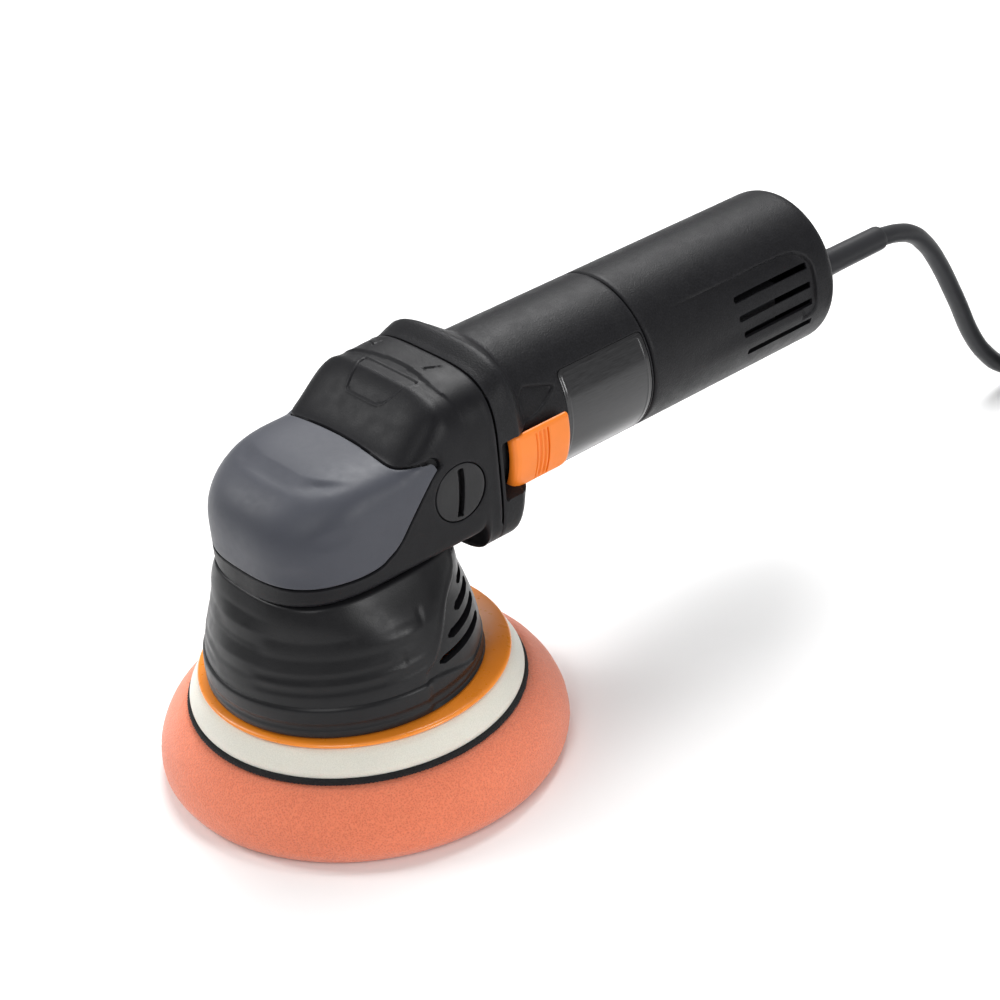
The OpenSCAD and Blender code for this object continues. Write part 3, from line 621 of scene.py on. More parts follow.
def coil_points(step=22.5, layers=4):
    """Each layer is wound in, then out; a turn shifts to the next place in its later part."""
    wide = [r for k in range(layers) for r in (COIL_RADII if k % 2 == 0 else COIL_RADII[::-1])]
    tall = [CORD_D * (k + 0.5) for k in range(layers) for _ in COIL_RADII]
    out = []
    for travel in np.arange(0, 360 * len(wide) + 1, step):
        turn = min(int(travel // 360), len(wide) - 1)
        after = min(turn + 1, len(wide) - 1)
        t = ease((travel - 360 * turn - 215) / 75)
        r, z = mix(wide[turn], wide[after], t), mix(tall[turn], tall[after], t)
        a = radians(90 - travel)
        out.append((COIL_X + r * cos(a), COIL_Y + r * sin(a), z))
    return out


def power_cord():
    route = np.array(CORD_ROUTE + coil_points() + PLUG_ROUTE, float) * MM
    data = bpy.data.curves.new("power_cord", "CURVE")
    data.dimensions = "3D"
    data.bevel_depth = 1.0                 # times each point's radius
    data.bevel_resolution = 5
    data.resolution_u = 5
    data.use_fill_caps = True
    line = data.splines.new("BEZIER")
    line.bezier_points.add(len(route) - 1)
    for point, place in zip(line.bezier_points, route):
        point.co = place
        point.radius = CORD_D / 2 * MM
        point.handle_left_type = point.handle_right_type = "AUTO"
    cord = add_object("power_cord_skin", data)
    length = line.calc_length()
    seat(cord, "housing", "power_cord", "cord_coil")
    return cord, length


def cord_inside():
    start, end = high("cord_clamp")[1] - 12, BOOT_END - 0.2
    bm = lathe([(CORD_D / 2 - 0.05, 0), (CORD_D / 2 - 0.05, end - start)], 32, (0, start, CORD_Z), "Y")
    mount(to_object(bm, "cord_inside"), "housing", "cord_rubber")


def cord_boot():
    outer = [(8.5, 0), (8.5, 5), (6.5, 5), (6.5, 8.4), (7.2, 8.8), (7.4, 9.4), (7.4, 10.6), (7.2, 11.2),
            (6.5, 12)]
    taper = [(12, 6.4), (18, 6.1), (30, 5.6), (42, 5.3), (66.5, 5.2)]
    groove_starts = (15, 19, 23)
    heights = sorted({*np.arange(13, 66.5, 1.5),
            *[g + s for g in groove_starts for s in (0, 0.2, 1.2, 1.4)]})
    for h in heights:
        r = np.interp(h, [p[0] for p in taper], [p[1] for p in taper])
        if any(g + 0.1 < h < g + 1.3 for g in groove_starts):
            r -= 0.8
        outer.append((r, h))
    outer += [(5.15, 67.2), (4.95, 67.8), (4.6, 68), (4.05, 68), (4.02, 60), (4.02, 0)]
    bm = ring_lathe(outer, 64, (0, BOOT_Y, CORD_Z), "Y")
    seat(to_object(bm, "cord_boot_skin", 30), "housing", "cord_boot")


def cord_tie():
    inner, outer = COIL_RADII[2] - CORD_D / 2, COIL_RADII[0] + CORD_D / 2
    turn = radians(40)
    band = round_box(inner - 1.4, 0, outer + 1.4, COIL_HIGH + 1.4, [2, 2, 4.5, 4.5], 7)
    hole = round_box(inner - 0.2, 0.8, outer + 0.2, COIL_HIGH + 0.2, [1, 1, 3.6, 3.6], 7)
    bm = bmesh.new()
    rows = []
    for half, grow in ((-5, -0.35), (-4.6, 0), (4.6, 0), (5, -0.35)):
        for line, sign in ((band, 1), (hole, -1)):
            middle = line.mean(0)
            line = middle + (line - middle) * (1 + sign * grow / 20)
            spots = [(r * cos(turn) - half * sin(turn) + COIL_X, r * sin(turn) + half * cos(turn) + COIL_Y,
                    max(z, 0.02)) for r, z in line]
            rows.append([bm.verts.new(p) for p in spots])
    n = len(rows[0])
    loops = [rows[0], rows[2], rows[4], rows[6], rows[7], rows[5], rows[3], rows[1], rows[0]]
    for first, second in zip(loops[:-1], loops[1:]):
        for i in range(n):
            bm.faces.new([first[i], first[(i + 1) % n], second[(i + 1) % n], second[i]])
    seat(to_object(outward(bm), "cord_tie_strap"), "housing", "cord_tie")


def plug():
    x, y = PLUG_ROUTE[-1][0], PLUG_ROUTE[-1][1]
    rings = []
    for h, half_w, half_h in ((0, 4.6, 4.6), (0.4, 5, 5), (3, 5.5, 5.5), (3.4, 5, 5), (4.6, 5.2, 5.2),
            (5, 6, 6), (7, 6.4, 6.4), (7.4, 5.9, 5.9), (8.6, 6.2, 6.2), (9, 7, 6.9), (12, 8.4, 7.8),
            (15, 10.5, 8.4), (19, 13.5, 8.7), (23, 16.4, 8.8), (26, 17.6, 8.8), (33, 17.8, 8.8),
            (34.6, 17.5, 8.6), (35.6, 16.8, 8.0), (36, 15.6, 7.2)):
        a = -2 * np.pi * np.arange(64) / 64
        p = 2 / mix(2, 3.2, ease((h - 9) / 12))
        rings.append(np.stack([x - half_w * power(np.cos(a), p), np.full(64, y - h),
                9 + half_h * power(np.sin(a), p)], axis=1))
    body = seat(to_object(skin(rings), "plug_body_skin", 50), "housing", "plug_body")
    pins = bmesh.new()
    for side in (-9.5, 9.5):
        pin = [(1.2, 0), (2.4, 0), (2.4, 16.5), (2.2, 17.6), (1.6, 18.6), (0.9, 18.95)]
        one = lathe([(r, -h) for r, h in pin], 32, (x + side, y - 36, 9), "Y")
        merge(pins, one)
    pair = seat(to_object(outward(pins), "plug_pin_pair"), "housing", "plug_pins")
    return body, pair


# ---- the head's surface
PLAN, NOSE = 2.9, 2.6                       # how square the nose is from above and from the side
HEAD_LOW, FLANGE_MID, FLANGE_SQUARE = 103.0, 112.0, 3.8


def ramp(y):
    t = clamp01((y - 9) / 21)
    return (t + ease(t)) / 2


def head_top(y, waist):
    if y < 0:
        return waist + (DOME_Z - waist) * max(0.0, 1 - min(1.0, -y / HEAD_R) ** NOSE) ** (1 / NOSE)
    return mix(DOME_Z, FLANGE_TOP - 0.8, ramp(y)) + 0.8 * ease((y - 30) / 15)


def even(points, count):
    along = np.concatenate([[0], np.cumsum(np.linalg.norm(np.diff(points, axis=0), axis=1))])
    at = np.linspace(0, along[-1], count)
    return np.stack([np.interp(at, along, points[:, k]) for k in range(points.shape[1])], axis=1)


def section(half, middle, top, bottom, top_power, low_power, y, n_top=116, n_low=84):
    t = np.linspace(0, np.pi, 241)
    arches = []
    for width, height, power_of, count in ((half, top - middle, top_power, n_top),
            (-half, bottom - middle, low_power, n_low)):
        x, z = width * power(np.cos(t), 2 / power_of), middle + height * np.sin(t) ** (2 / power_of)
        arches.append(even(np.stack([x, z], 1), count + 1)[:-1])
    ring = np.vstack(arches)
    return np.stack([ring[:, 0], np.full(len(ring), float(y)), ring[:, 1]], 1)[::-1]


def head_ring(y):
    waist = mix(HEAD_LOW, FLANGE_MID, ease(y / FLANGE_Y))
    nose = max(0.0, 1 - min(1.0, max(0.0, -y) / HEAD_R) ** PLAN) ** (1 / PLAN)
    half = HEAD_W * nose if y < 0 else mix(HEAD_W, FLANGE_W, ease(y / FLANGE_Y))
    bottom = mix(NECK_Z, FLANGE_LOW, ease((y - 41.6) / 3))
    square = mix(mix(2.8, 5, ease((y + 35) / 38)), FLANGE_SQUARE, ease((y - 24) / 16))
    return section(max(half, 0.5), waist, max(head_top(y, waist), waist + 0.3), bottom, square,
            mix(14, 4.5, ease((y - 39) / 6)), y)


def head_skin():
    widths = np.linspace(0.02, 0.97, 34)
    nose = [-HEAD_R * (1 - w ** PLAN) ** (1 / PLAN) for w in widths]
    back = [*np.arange(0.6, 41.5, 1.0), *np.arange(41.6, 45, 0.5), *np.arange(45.2, FLANGE_Y - 0.1, 0.8)]
    stations = [*nose, *np.linspace(nose[-1], 0.0, 16)[1:], *back, FLANGE_Y]
    return skin([head_ring(y) for y in stations])


COVER_LOW = curve_through([(-60, 95.5), (-30, 95.5), (-8, 95.5), (0, 98), (5, 101.2), (10, 107),
        (15.5, 113.5), (21.5, 120), (26, 123.6)])
COVER_SIDE = np.vstack([COVER_LOW, [(31, 127.2), (46, 140), (-60, 140)]])
COVER_BACK = curve_through([(0, 9.4), (10, 9.1), (20, 8.3), (25.5, 8.2), (28.5, 9.0), (30.8, 10.9),
        (33, 14.2), (34.5, 18.4), (35.2, 22.5), (36.5, 26), (42, 28), (60, 29)])
COVER_TOP = np.vstack([[(-10, 9.4)], COVER_BACK, [(80, 29), (80, -80), (-10, -80)]])


def off_cover(p):
    """Distance outside the cover's border, which is drawn from the side and from above."""
    plan = np.stack([np.abs(p[:, 0]), p[:, 1]], 1)
    return np.maximum(off_outline(p[:, 1:], COVER_SIDE), off_outline(plan, COVER_TOP))


def crescent(p):
    """The finger step across the dome: a crisp edge, a hollow before it, then a soft lip."""
    upper = curve_through([(-27, -10), (-20.5, -14.5), (-8, -17.6), (4, -18.2), (15.5, -15.6), (25, -9.2),
            (30, -3)])
    away = off_line(p[:, :2], upper)
    behind = p[:, 1] > np.interp(p[:, 0], upper[:, 0], upper[:, 1])
    inside = ease((p[:, 0] + 27) / 9) * ease((29 - p[:, 0]) / 10) * (p[:, 2] > 112)
    ahead = profile(away, (0, -0.25), (0.7, -0.8), (2, -1.15), (4, -0.75), (6, -0.1), (7.5, 0.12), (11, 0))
    return np.where(behind, profile(away, (0, -0.25), (0.8, 0)), ahead) * inside


def soft_dents(p):
    """Two faint hollows lower on the nose's sides."""
    total = np.zeros(len(p))
    for x, y, z, wide in ((31, -20, 113, 9), (-31, -18, 104, 9), (24, -30, 100, 12)):
        away = np.linalg.norm((p - (x, y, z)) * (1, 1, 1.9), axis=1)
        total -= 0.7 * ease(1 - away / wide)
    return total


def head_cover():
    bm = head_skin()
    cut(bm, off_cover, -1.2, -0.65, -0.3)
    keep(bm, lambda p: off_cover(p) < -0.28)
    push(bm, lambda p: profile(off_cover(p), (-1.2, 0), (-0.65, -0.16),
            (-0.3, -0.6)) + crescent(p) + soft_dents(p))
    piece = to_object(bm, "head_cover_skin")
    seat(thickened(piece, COVER_WALL), "housing", "head_cover")


PANEL = rounded([(-10, 21), (10, 21), (15.2, 34.6), (-15.2, 34.6)], [1.2, 4.5, 1.5, 1.5])
RIDGE = curve_through([(-60, 34), (-34, 35.5), (-18.4, 37), (-3.1, 38.8), (8, 38.2), (16.5, 36.6),
        (24, 36.2), (34, 37.8), (60, 38)])
NOTCHES = [rounded([(8.2, 40.6), (12.0, 40.2), (13.8, 47.8)], 0.3, 3),
        rounded([(-25.2, 44.6), (-19.0, 40.0), (-18.6, 47.4), (-19.8, 42.4)], 0.3, 3)]


def on_top(p):
    return p[:, 2] > 120


def off_panel(p):
    return np.where(on_top(p), off_outline(p[:, :2], PANEL), FAR)


def off_ridge(p):
    return np.where(on_top(p), p[:, 1] - np.interp(p[:, 0], RIDGE[:, 0], RIDGE[:, 1]), FAR)


def off_notch(p):
    away = np.minimum(off_outline(p[:, :2], NOTCHES[0]), off_outline(p[:, :2], NOTCHES[1]))
    return np.where(on_top(p), away, FAR)


def off_socket(p):
    return np.where(np.abs(p[:, 0]) > 24, np.hypot(p[:, 1] - SOCKET, p[:, 2] - SOCKET_Z) - SOCKET_R, FAR)


def gear_case():
    bm = head_skin()
    cut(bm, off_cover, -0.02, 0.1, 0.5)
    cut(bm, off_panel, -0.5, -0.05, 0.35, 0.8)
    cut(bm, off_ridge, -3.2, -0.9, 0.3)
    cut(bm, off_notch, -0.45, 0.0)
    cut(bm, off_socket, -0.04, 0.0, 0.5)

    def relief(p):
        d = off_cover(p)
        depth = profile(d, (-0.02, -2.2), (0.1, -0.55), (0.5, 0))
        rest = profile(off_panel(p), (-0.5, -0.4), (-0.05, 0.05), (0.35, 0.16), (0.8, 0))
        crease = profile(off_ridge(p), (-14, 0), (-3.2, -0.75), (-0.9, -0.5), (0.3, 0.15), (3, 0))
        rest += crease * ease((36 - np.abs(p[:, 0])) / 13)
        rest += profile(off_notch(p), (-0.45, -0.6), (0, 0))
        rest += profile(off_socket(p), (0, -0.25), (0.5, 0))
        rest += profile(p[:, 1], (46.6, 0), (47.4, 0.12), (48.8, 0.12), (49.4, -0.1),
                (FLANGE_Y - 0.1, -0.6))
        return np.where(d < 0.6, depth, rest) * (p[:, 2] > NECK_Z + 0.6)

    push(bm, relief)

    def bore(p):
        deep = off_socket(p) < -0.02
        p[deep, 0] = np.sign(p[deep, 0]) * 30.8
        return p

    put(bm, bore)
    piece = to_object(bm, "gear_case_skin")
    holes = [rod(28, (0, 0, NECK_Z - 1), AXIS_Z - NECK_Z + 1), rod(7, (0, 0, AXIS_Z - 1), 12),
            rod(12, (0, 13, AXIS_Z), 24, "Y"), rod(8, (0, 36, AXIS_Z), 7, "Y"),
            rod(13, (0, 42.5, AXIS_Z), 12, "Y")]
    seat(carved(piece, holes), "housing", "gear_case")


# ---- shroud
def shroud_r(z):
    neck = mix(LIP_R, 38.4, clamp01((z - 46) / (NECK_Z - 46)) ** 1.55)
    return np.where(z < 46, mix(LIP_R - 0.4, LIP_R, (z - LIP_Z) / (46 - LIP_Z)), neck)


SHROUD_RIDGE = curve_through([(44, 90), (38, 84.7), (33, 80), (24, 76), (15, 69), (9, 63.7), (4, 59.8),
        (-3, 56.9)])
VENT_SLOTS = [(39, 56, 73.6), (27, 55, 68.7), (16, 53, 63), (7, 48, 57)]


def shroud_relief(turn, z):
    """Height of its ledges, ribs and ripples; turn is in degrees from +X towards the back."""
    turn = 90 - np.abs((turn + 90) % 360 - 180)              # the same on both sides of the handle
    front = ease((5 - turn) / 8)
    arc = np.interp(turn, SHROUD_RIDGE[::-1, 0], SHROUD_RIDGE[::-1, 1])
    ridge = (z - arc) * 0.8
    panel = ease((turn + 3) / 4) * ease((90 - turn) / 10)
    relief = panel * profile(ridge, (-3.5, -1.0), (-1.2, -1.0), (-0.4, 0.1), (0.6, 0.25), (2.6, 0))
    ledge = z - (52.5 - 5.5 * ease((turn - 3) / 30))
    relief += profile(ledge, (-4.5, 0.0), (-1.2, 0.3), (0, 0.35), (0.8, -0.45), (3.2, -0.2), (7, 0))
    relief += profile(np.abs(z - 45.6), (0, -0.5), (0.9, -0.45), (1.6, 0))
    rib = front * ease((turn + 78) / 10)
    relief += rib * profile(np.abs(z - 73), (0, 0.45), (1.2, 0.35), (3.2, 0))
    for level in (64.5, 60):
        away = np.abs(z - level - 1.5 * np.sin(np.radians(turn)))
        relief += front * ease((turn + 80) / 8) * 0.3 * profile(away, (0, -1), (0.9, -0.7), (1.8, 0))
    for level in (77, 66):
        relief += ease(1 - np.abs(turn + 88) / 22) * 0.5 * profile(np.abs(z - level), (0, 1), (4.5, -0.2),
                (6, 0))
    for a0, z0, a1, z1 in ((6, 78, 2, 74), (-8, 66, -11, 63.5)):
        spot = np.stack([(turn - (a0 + a1) / 2) * 0.75, z - (z0 + z1) / 2], 1)
        relief -= 0.5 * ease(1 - np.linalg.norm(spot * (1, 0.45), axis=1) / 1.6)
    return relief


def shroud():
    count = 320
    levels = np.concatenate([[LIP_Z, LIP_Z + 0.3], np.arange(LIP_Z + 0.9, NECK_Z - 0.7, 0.6),
            [NECK_Z - 0.4, NECK_Z]])
    rings = []
    for z in levels:
        a = 2 * np.pi * np.arange(count) / count
        square = 2 / mix(2, PLAN, ease((z - 72) / 16))
        side = mix(1, HEAD_W / 38.5, ease((z - 72) / 16))
        r = float(shroud_r(z))
        fade = ease((z - LIP_Z) / 1.5) * ease((NECK_Z - z) / 2.5)
        edge = profile(z, (LIP_Z, -0.35), (LIP_Z + 0.3, -0.1), (LIP_Z + 0.9, 0), (NECK_Z - 0.4, 0),
                (NECK_Z, -0.4))
        grow = 1 + (shroud_relief(np.degrees(a), np.full(count, z)) * fade + edge) / r
        rings.append(np.stack([grow * r * side * power(np.cos(a), square),
                grow * r * power(np.sin(a), square), np.full(count, z)], 1))
    piece = to_object(skin(rings), "shroud_skin")
    inner = [(48.3, LIP_Z - 1), (48.4, 46), (46.2, 55), (42.6, 65), (38.4, 74), (34.4, NECK_Z - 7)]
    chamber = cutter(lathe(inner, 96))
    neck = rod(27.5, (0, 0, NECK_Z - 8), 5)
    above = rod(33.2, (0, 0, NECK_Z - 4), 6)
    holes = [chamber, neck, above]
    for side in (-1, 1):
        for start, end, z in VENT_SLOTS:
            ring = round_box(30, -1.6, 60, 1.6, 1.5)
            turns = np.radians(np.arange(start, end + 0.1, 1.5))
            fine = []
            for k, a in enumerate(turns):
                tall = min(1.0, 0.3 + 0.35 * k, 0.4 + 0.3 * (len(turns) - 1 - k))
                fine.append([(side * r * cos(a), r * sin(a), z + h * tall) for r, h in ring])
            holes.append(cutter(skin(fine)))
    seat(carved(piece, holes), "housing", "shroud")


def socket_plugs():
    bm = bmesh.new()
    for side in (-1, 1):
        outline = [(3.9, -9), (3.9, 0), (SOCKET_R - 0.3, 0), (SOCKET_R - 0.3, 4.2), (SOCKET_R - 0.6, 4.7),
                (SOCKET_R - 1.2, 4.85)]
        outline += [(r, 4.9 - 0.35 * (1 - r / 10) ** 2) for r in np.arange(9.6, 0.3, -0.8)]
        one = lathe(outline, 72, (SOCKET_X - 5, SOCKET, SOCKET_Z), "X")

        def off_slot(p):
            tilt = radians(-6)
            y, z = p[:, 1] - SOCKET, p[:, 2] - SOCKET_Z
            across = y * cos(tilt) + z * sin(tilt) + 0.012 * z ** 2 - 0.6
            along = np.abs(z * cos(tilt) - y * sin(tilt)) - 9.2
            return np.where(p[:, 0] > SOCKET_X - 3, np.maximum(np.abs(across) - 1.35, along), 9.0)

        cut(one, off_slot, -0.03, 0.0, 0.3)

        def slot_depth(p):
            p[:, 0] += profile(off_slot(p), (-0.03, -2.6), (0, -0.12), (0.3, 0))
            return p

        put(one, slot_depth)
        if side < 0:
            put(one, lambda p: p * (-1, 1, 1))
        merge(bm, one)
    seat(to_object(outward(bm), "handle_socket_plugs_skin"), "housing", "handle_socket_plugs")


# ---- motor housing
def collar_ring(y):
    k = ease((y - 59) / 10)
    swell = ease((y - FLANGE_Y) / 8)
    square = mix(FLANGE_SQUARE, 2, ease((y - 57) / 11))
    low_square = mix(4.5, 2, ease((y - 57) / 11))
    top = mix(mix(FLANGE_TOP, COLLAR_TOP, swell), AXIS_Z + BARREL_R, k)
    bottom = mix(FLANGE_LOW, AXIS_Z - BARREL_R, k)
    return section(mix(FLANGE_W, BARREL_R, k), mix(FLANGE_MID, AXIS_Z, k), top, bottom, square, low_square,
            y)


def angle_of(p, mirrored=False):
    """Angle up from +X round the motor's axis, or from the nearer side if mirrored."""
    return np.arctan2(p[:, 2] - AXIS_Z, np.abs(p[:, 0]) if mirrored else p[:, 0])


def unrolled(p, mirrored=False):
    """Points as (y, distance round the barrel)."""
    return np.stack([p[:, 1], angle_of(p, mirrored) * BARREL_R], 1)


def on_barrel(pairs):
    return [(y, radians(a) * BARREL_R) for y, a in pairs]


SAIL = rounded(on_barrel([(71.5, 36), (84.5, 27.5), (81, 22.5), (75.5, 16.5), (71, 14), (62, 14), (61, 19),
        (69.5, 33)]), [1.5, 0.8, 1.5, 1.5, 1, 1.2, 1.5, 1.5])
LABEL_TOP, LABEL_LOW = 35, -53


def label_outline(gap):
    top, bottom = radians(LABEL_TOP) * BARREL_R - gap, radians(LABEL_LOW) * BARREL_R + gap
    return round_box(LABEL_Y + gap, bottom, LABEL_END - gap, top, [2, 2, 2, 3])


CHANNEL = round_box(FLANGE_Y + 1.5, 97, SLIDER_END + 2, 120.3, 1.2)


def off_sail(p):
    return off_outline(unrolled(p, True), SAIL)


def off_label(p):
    return off_outline(unrolled(p), label_outline(0))


def off_channel(p):
    return np.where(p[:, 0] > 0, off_outline(p[:, 1:], CHANNEL), FAR)


def motor_housing():
    stations = [FLANGE_Y, FLANGE_Y + 0.4, *np.arange(FLANGE_Y + 1, SPLIT_Y - 1.1, 1.0), SPLIT_Y - 0.9,
            SPLIT_Y - 0.3, SPLIT_Y]
    bm = skin([collar_ring(y) for y in stations])
    cut(bm, off_sail, -0.4, 0.0, 0.5)
    cut(bm, off_label, -0.04, 0.0, 0.35)
    cut(bm, off_channel, -0.05, 0.0, 0.5)

    def relief(p):
        y, a = p[:, 1], np.degrees(angle_of(p))
        total = profile(y, (FLANGE_Y, -0.7), (FLANGE_Y + 0.4, -0.25), (FLANGE_Y + 1, 0))
        total += profile(y, (SPLIT_Y - 0.9, 0), (SPLIT_Y - 0.3, -0.3), (SPLIT_Y, -0.9))
        total += profile(off_sail(p), (-0.4, -0.95), (0, -0.25), (0.5, 0)) * mix(1, 0.25,
                ease((84 - y) / 22))
        total += profile(off_label(p), (-0.04, -0.8), (0, -0.2), (0.35, 0))
        crest = profile(np.abs(y - 58.8), (0, 0.5), (0.8, 0.35), (2.2, 0))
        total += crest * ease((a - 32) / 16) * ease((148 - a) / 16)
        edge = profile(y, (58.2, 0), (59.4, 0.3), (60.6, -0.3), (63, 0)) * ease((34 - np.abs(a)) / 6)
        return total + edge

    push(bm, relief)

    def channel(p):
        inside = off_channel(p) < -0.02
        reach = np.hypot(p[:, 0], p[:, 2] - AXIS_Z)
        shrink = np.where(inside & (reach > BARREL_R), BARREL_R / np.maximum(reach, 1), 1)
        p[:, 0] *= shrink
        p[:, 2] = AXIS_Z + (p[:, 2] - AXIS_Z) * shrink
        return p

    put(bm, channel)
    piece = to_object(bm, "motor_housing_skin")
    bore = lathe([(26, FLANGE_Y - 1), (26, FLANGE_Y + 7), (BARREL_R - 3, FLANGE_Y + 7),
            (BARREL_R - 3, SPLIT_Y + 1)], 96, (0, 0, AXIS_Z), "Y")
    holes = [cutter(bore), block((20, SLIDER_Y + 1.5, AXIS_Z - 3), (40, SLIDER_Y + 23, AXIS_Z + 3))]
    seat(carved(piece, holes), "housing", "motor_housing")


def barrel_patch(y0, y1, a0, a1, radius, step=0.9, step_y=0.9):
    """An open grid on the barrel's radius, from angle a0 to a1."""
    ys = np.linspace(y0, y1, max(2, int((y1 - y0) / step_y)) + 1)
    turns = np.radians(np.linspace(a0, a1, max(2, int(radians(a1 - a0) * radius / step)) + 1))
    bm = bmesh.new()
    rows = [[bm.verts.new((radius * cos(a), y, AXIS_Z + radius * sin(a))) for a in turns] for y in ys]
    for first, second in zip(rows[:-1], rows[1:]):
        for i in range(len(turns) - 1):
            bm.faces.new([first[i], second[i], second[i + 1], first[i + 1]])
    bm.normal_update()
    return bm


def label_plate():
    bm = barrel_patch(LABEL_Y, LABEL_END, LABEL_LOW, LABEL_TOP, BARREL_R)

    def off(p):
        return off_outline(unrolled(p), label_outline(0.25))

    cut(bm, off, -2.1, -1.9, -1.5, -1.3, -0.35, 0.0)
    keep(bm, lambda p: off(p) < 0)
    push(bm, lambda p: profile(off(p), (-2.1, -0.12), (-1.9, -0.04), (-1.5, -0.04), (-1.3, -0.12),
            (-0.35, -0.12), (0, -0.3)))
    seat(thickened(to_object(bm, "label_plate_skin"), 0.45), "housing", "label_plate")


# ---- rear housing
POCKET = rounded(on_barrel([(134, 40.5), (205, 39.5), (212, 37.5), (216, 32), (218.5, 24), (218.5, -14),
        (200, -19), (134, -19)]), [3, 3, 3, 3, 2, 4, 3, 3])
VENT_ROWS = ((176.3, 124.9), (176.9, 117.5), (178.6, 110.5), (181.2, 101.9))  # start and height
VENT_END = 216.6


def off_pocket(p):
    return off_outline(unrolled(p, True), POCKET)


def rear_housing():
    length = TAIL_Y - SPLIT_Y
    front = [(1.2, 0), (1.2, 0.5), (0.7, 0.6), (0.2, 1.0), (0, 1.6)]
    tail = [(0, 5), (0.12, 3.6), (0.4, 2.6), (0.9, 1.6), (1.6, 0.9), (2.4, 0.35), (3.4, 0), (6, 0)]
    outline = front + [(0, h) for h in np.arange(2.8, length - 5.5, 1.2)] + [(d, length - h) for d,
            h in tail]
    bm = lathe([(BARREL_R - d, h) for d, h in outline], 176, (0, SPLIT_Y, AXIS_Z), "Y")
    cut(bm, off_pocket, -2.4, -0.5, 0.0, 0.5)

    def relief(p):
        deep = 1.8 * ease((p[:, 1] - 136) / 62) ** 0.8
        hollow = profile(off_pocket(p), (-2.4, -1), (-0.5, -0.85), (0, -0.15), (0.5, 0)) * deep
        low_fade = 1 - ease((2 - np.degrees(angle_of(p, True))) / 16)
        return hollow * np.where(p[:, 1] < 212, low_fade, np.maximum(low_fade, 0.55))

    push(bm, relief)
    piece = to_object(bm, "rear_housing_skin")
    bore = lathe([(BARREL_R - BARREL_WALL, SPLIT_Y - 1), (BARREL_R - BARREL_WALL, TAIL_Y - 8),
            (BARREL_R - 4.5, TAIL_Y - 3)], 96, (0, 0, AXIS_Z), "Y")
    holes = [cutter(bore), rod(6.5, (0, TAIL_Y - 5, CORD_Z), 8, "Y"), block((-20.6, 200, AXIS_Z - 11.6),
            (-13.4, TAIL_Y + 1, AXIS_Z + 11.6))]
    for side in (-1, 1):
        for start, z in VENT_ROWS:
            shape = round_box(start, z - 1.3, VENT_END, z + 1.3, [1.25, 0.5, 0.5, 1.25])
            holes.append(cutter(skin([[(x, y, h) for y, h in shape] for x in (15 * side, 40 * side)])))
    for x, up in ((-13, 20), (13, -20)):
        holes.append(rod(1.8, (x, TAIL_Y - 6, AXIS_Z + up), 8, "Y", 32))
        holes.append(rod(3.6, (x, TAIL_Y - 2.5, AXIS_Z + up), 6, "Y", 48))
    seat(carved(piece, holes), "housing", "rear_housing")


# ---- slide switch and dial
def switch_slider():
    top, bottom, inner = 10.6, -27.6, BARREL_R + 0.35
    bm = barrel_patch(SLIDER_Y, SLIDER_END, bottom, top, SLIDER_R, 0.55, 0.2)
    edge_top, edge_low = radians(top) * BARREL_R, radians(bottom) * BARREL_R
    shape = round_box(SLIDER_Y, edge_low, SLIDER_END, edge_top, [1.6, 4.2, 1.6, 1.4])

    def off(p):
        return off_outline(unrolled(p), shape)

    cut(bm, off, -1.6, -0.9, -0.4, -0.12, 0.0)
    keep(bm, lambda p: off(p) < 0)

    def relief(p):
        y, d = p[:, 1], off(p)
        total = profile(d, (-1.6, 0), (-0.9, -0.14), (-0.4, -0.45), (-0.12, -0.85), (0, -1.3))
        front = profile(y - SLIDER_Y, (0, -1.7), (0.8, -1.0), (1.8, -0.35), (3.2, 0))
        ribs = sum(profile(np.abs(y - SLIDER_Y - 11.6 - 2.0 * k), (0, 0.0), (0.35, -0.1), (0.8, -0.75),
                (1.0, -0.8)) for k in range(3)) * (np.abs(y - SLIDER_Y - 13.6) < 3.0)
        ribs = np.where(ribs < -0.8, ribs + 1.6, ribs)
        return total + front + ribs * ease((-d - 1.4) / 0.8)

    push(bm, relief)
    outer = to_object(bm, "switch_slider_skin", 30)
    solid = thickened(outer, SLIDER_R - inner - 1.9, 30)
    foot = bmesh.new()
    for x0, x1, start, end in ((28.3, 34.0, 8, 16), (25.7, 28.4, 7, 17)):
        add_block(foot, (x0, SLIDER_Y + start, AXIS_Z - 2.5), (x1, SLIDER_Y + end, AXIS_Z + 2.5))
    bmesh.ops.bevel(foot, geom=list(foot.edges), offset=0.4, segments=2, affect="EDGES")
    stem = to_object(foot, "switch_stem", 30)
    seat(solid, "switch", "switch_slider")
    mount(stem, "switch", "switch_orange")


def speed_dial():
    lowest, highest = low("speed_dial"), high("speed_dial")
    middle_y, r = (lowest[1] + highest[1]) / 2, (highest[1] - lowest[1]) / 2
    count, rings = 288, []
    a = -2 * np.pi * np.arange(count) / count
    teeth = 0.5 - 0.5 * np.cos(a * 24)
    for x, radius, notch in ((0.35, 5, 0), (0.35, r - 3.2, 0), (0, r - 2.6, 0), (0, r - 1.4, 0.2),
            (0.25, r - 0.8, 0.8), (0.8, r - 0.15, 1), (5.2, r - 0.15, 1), (5.75, r - 0.8, 0.8),
            (6, r - 1.4, 0.2), (6, r - 2.6, 0), (5.65, r - 3.2, 0), (5.65, 2.4, 0), (6.2, 2.2, 0),
            (7.7, 2.2, 0), (7.88, 1.9, 0)):
        reach = radius - 0.6 * notch * (1 - teeth ** 0.6)
        rings.append(np.stack([np.full(count, lowest[0] + x), middle_y + reach * np.cos(a),
                AXIS_Z + reach * np.sin(a)], 1))
    seat(to_object(skin(rings), "speed_dial_wheel", 30), "speed_dial", "speed_dial")


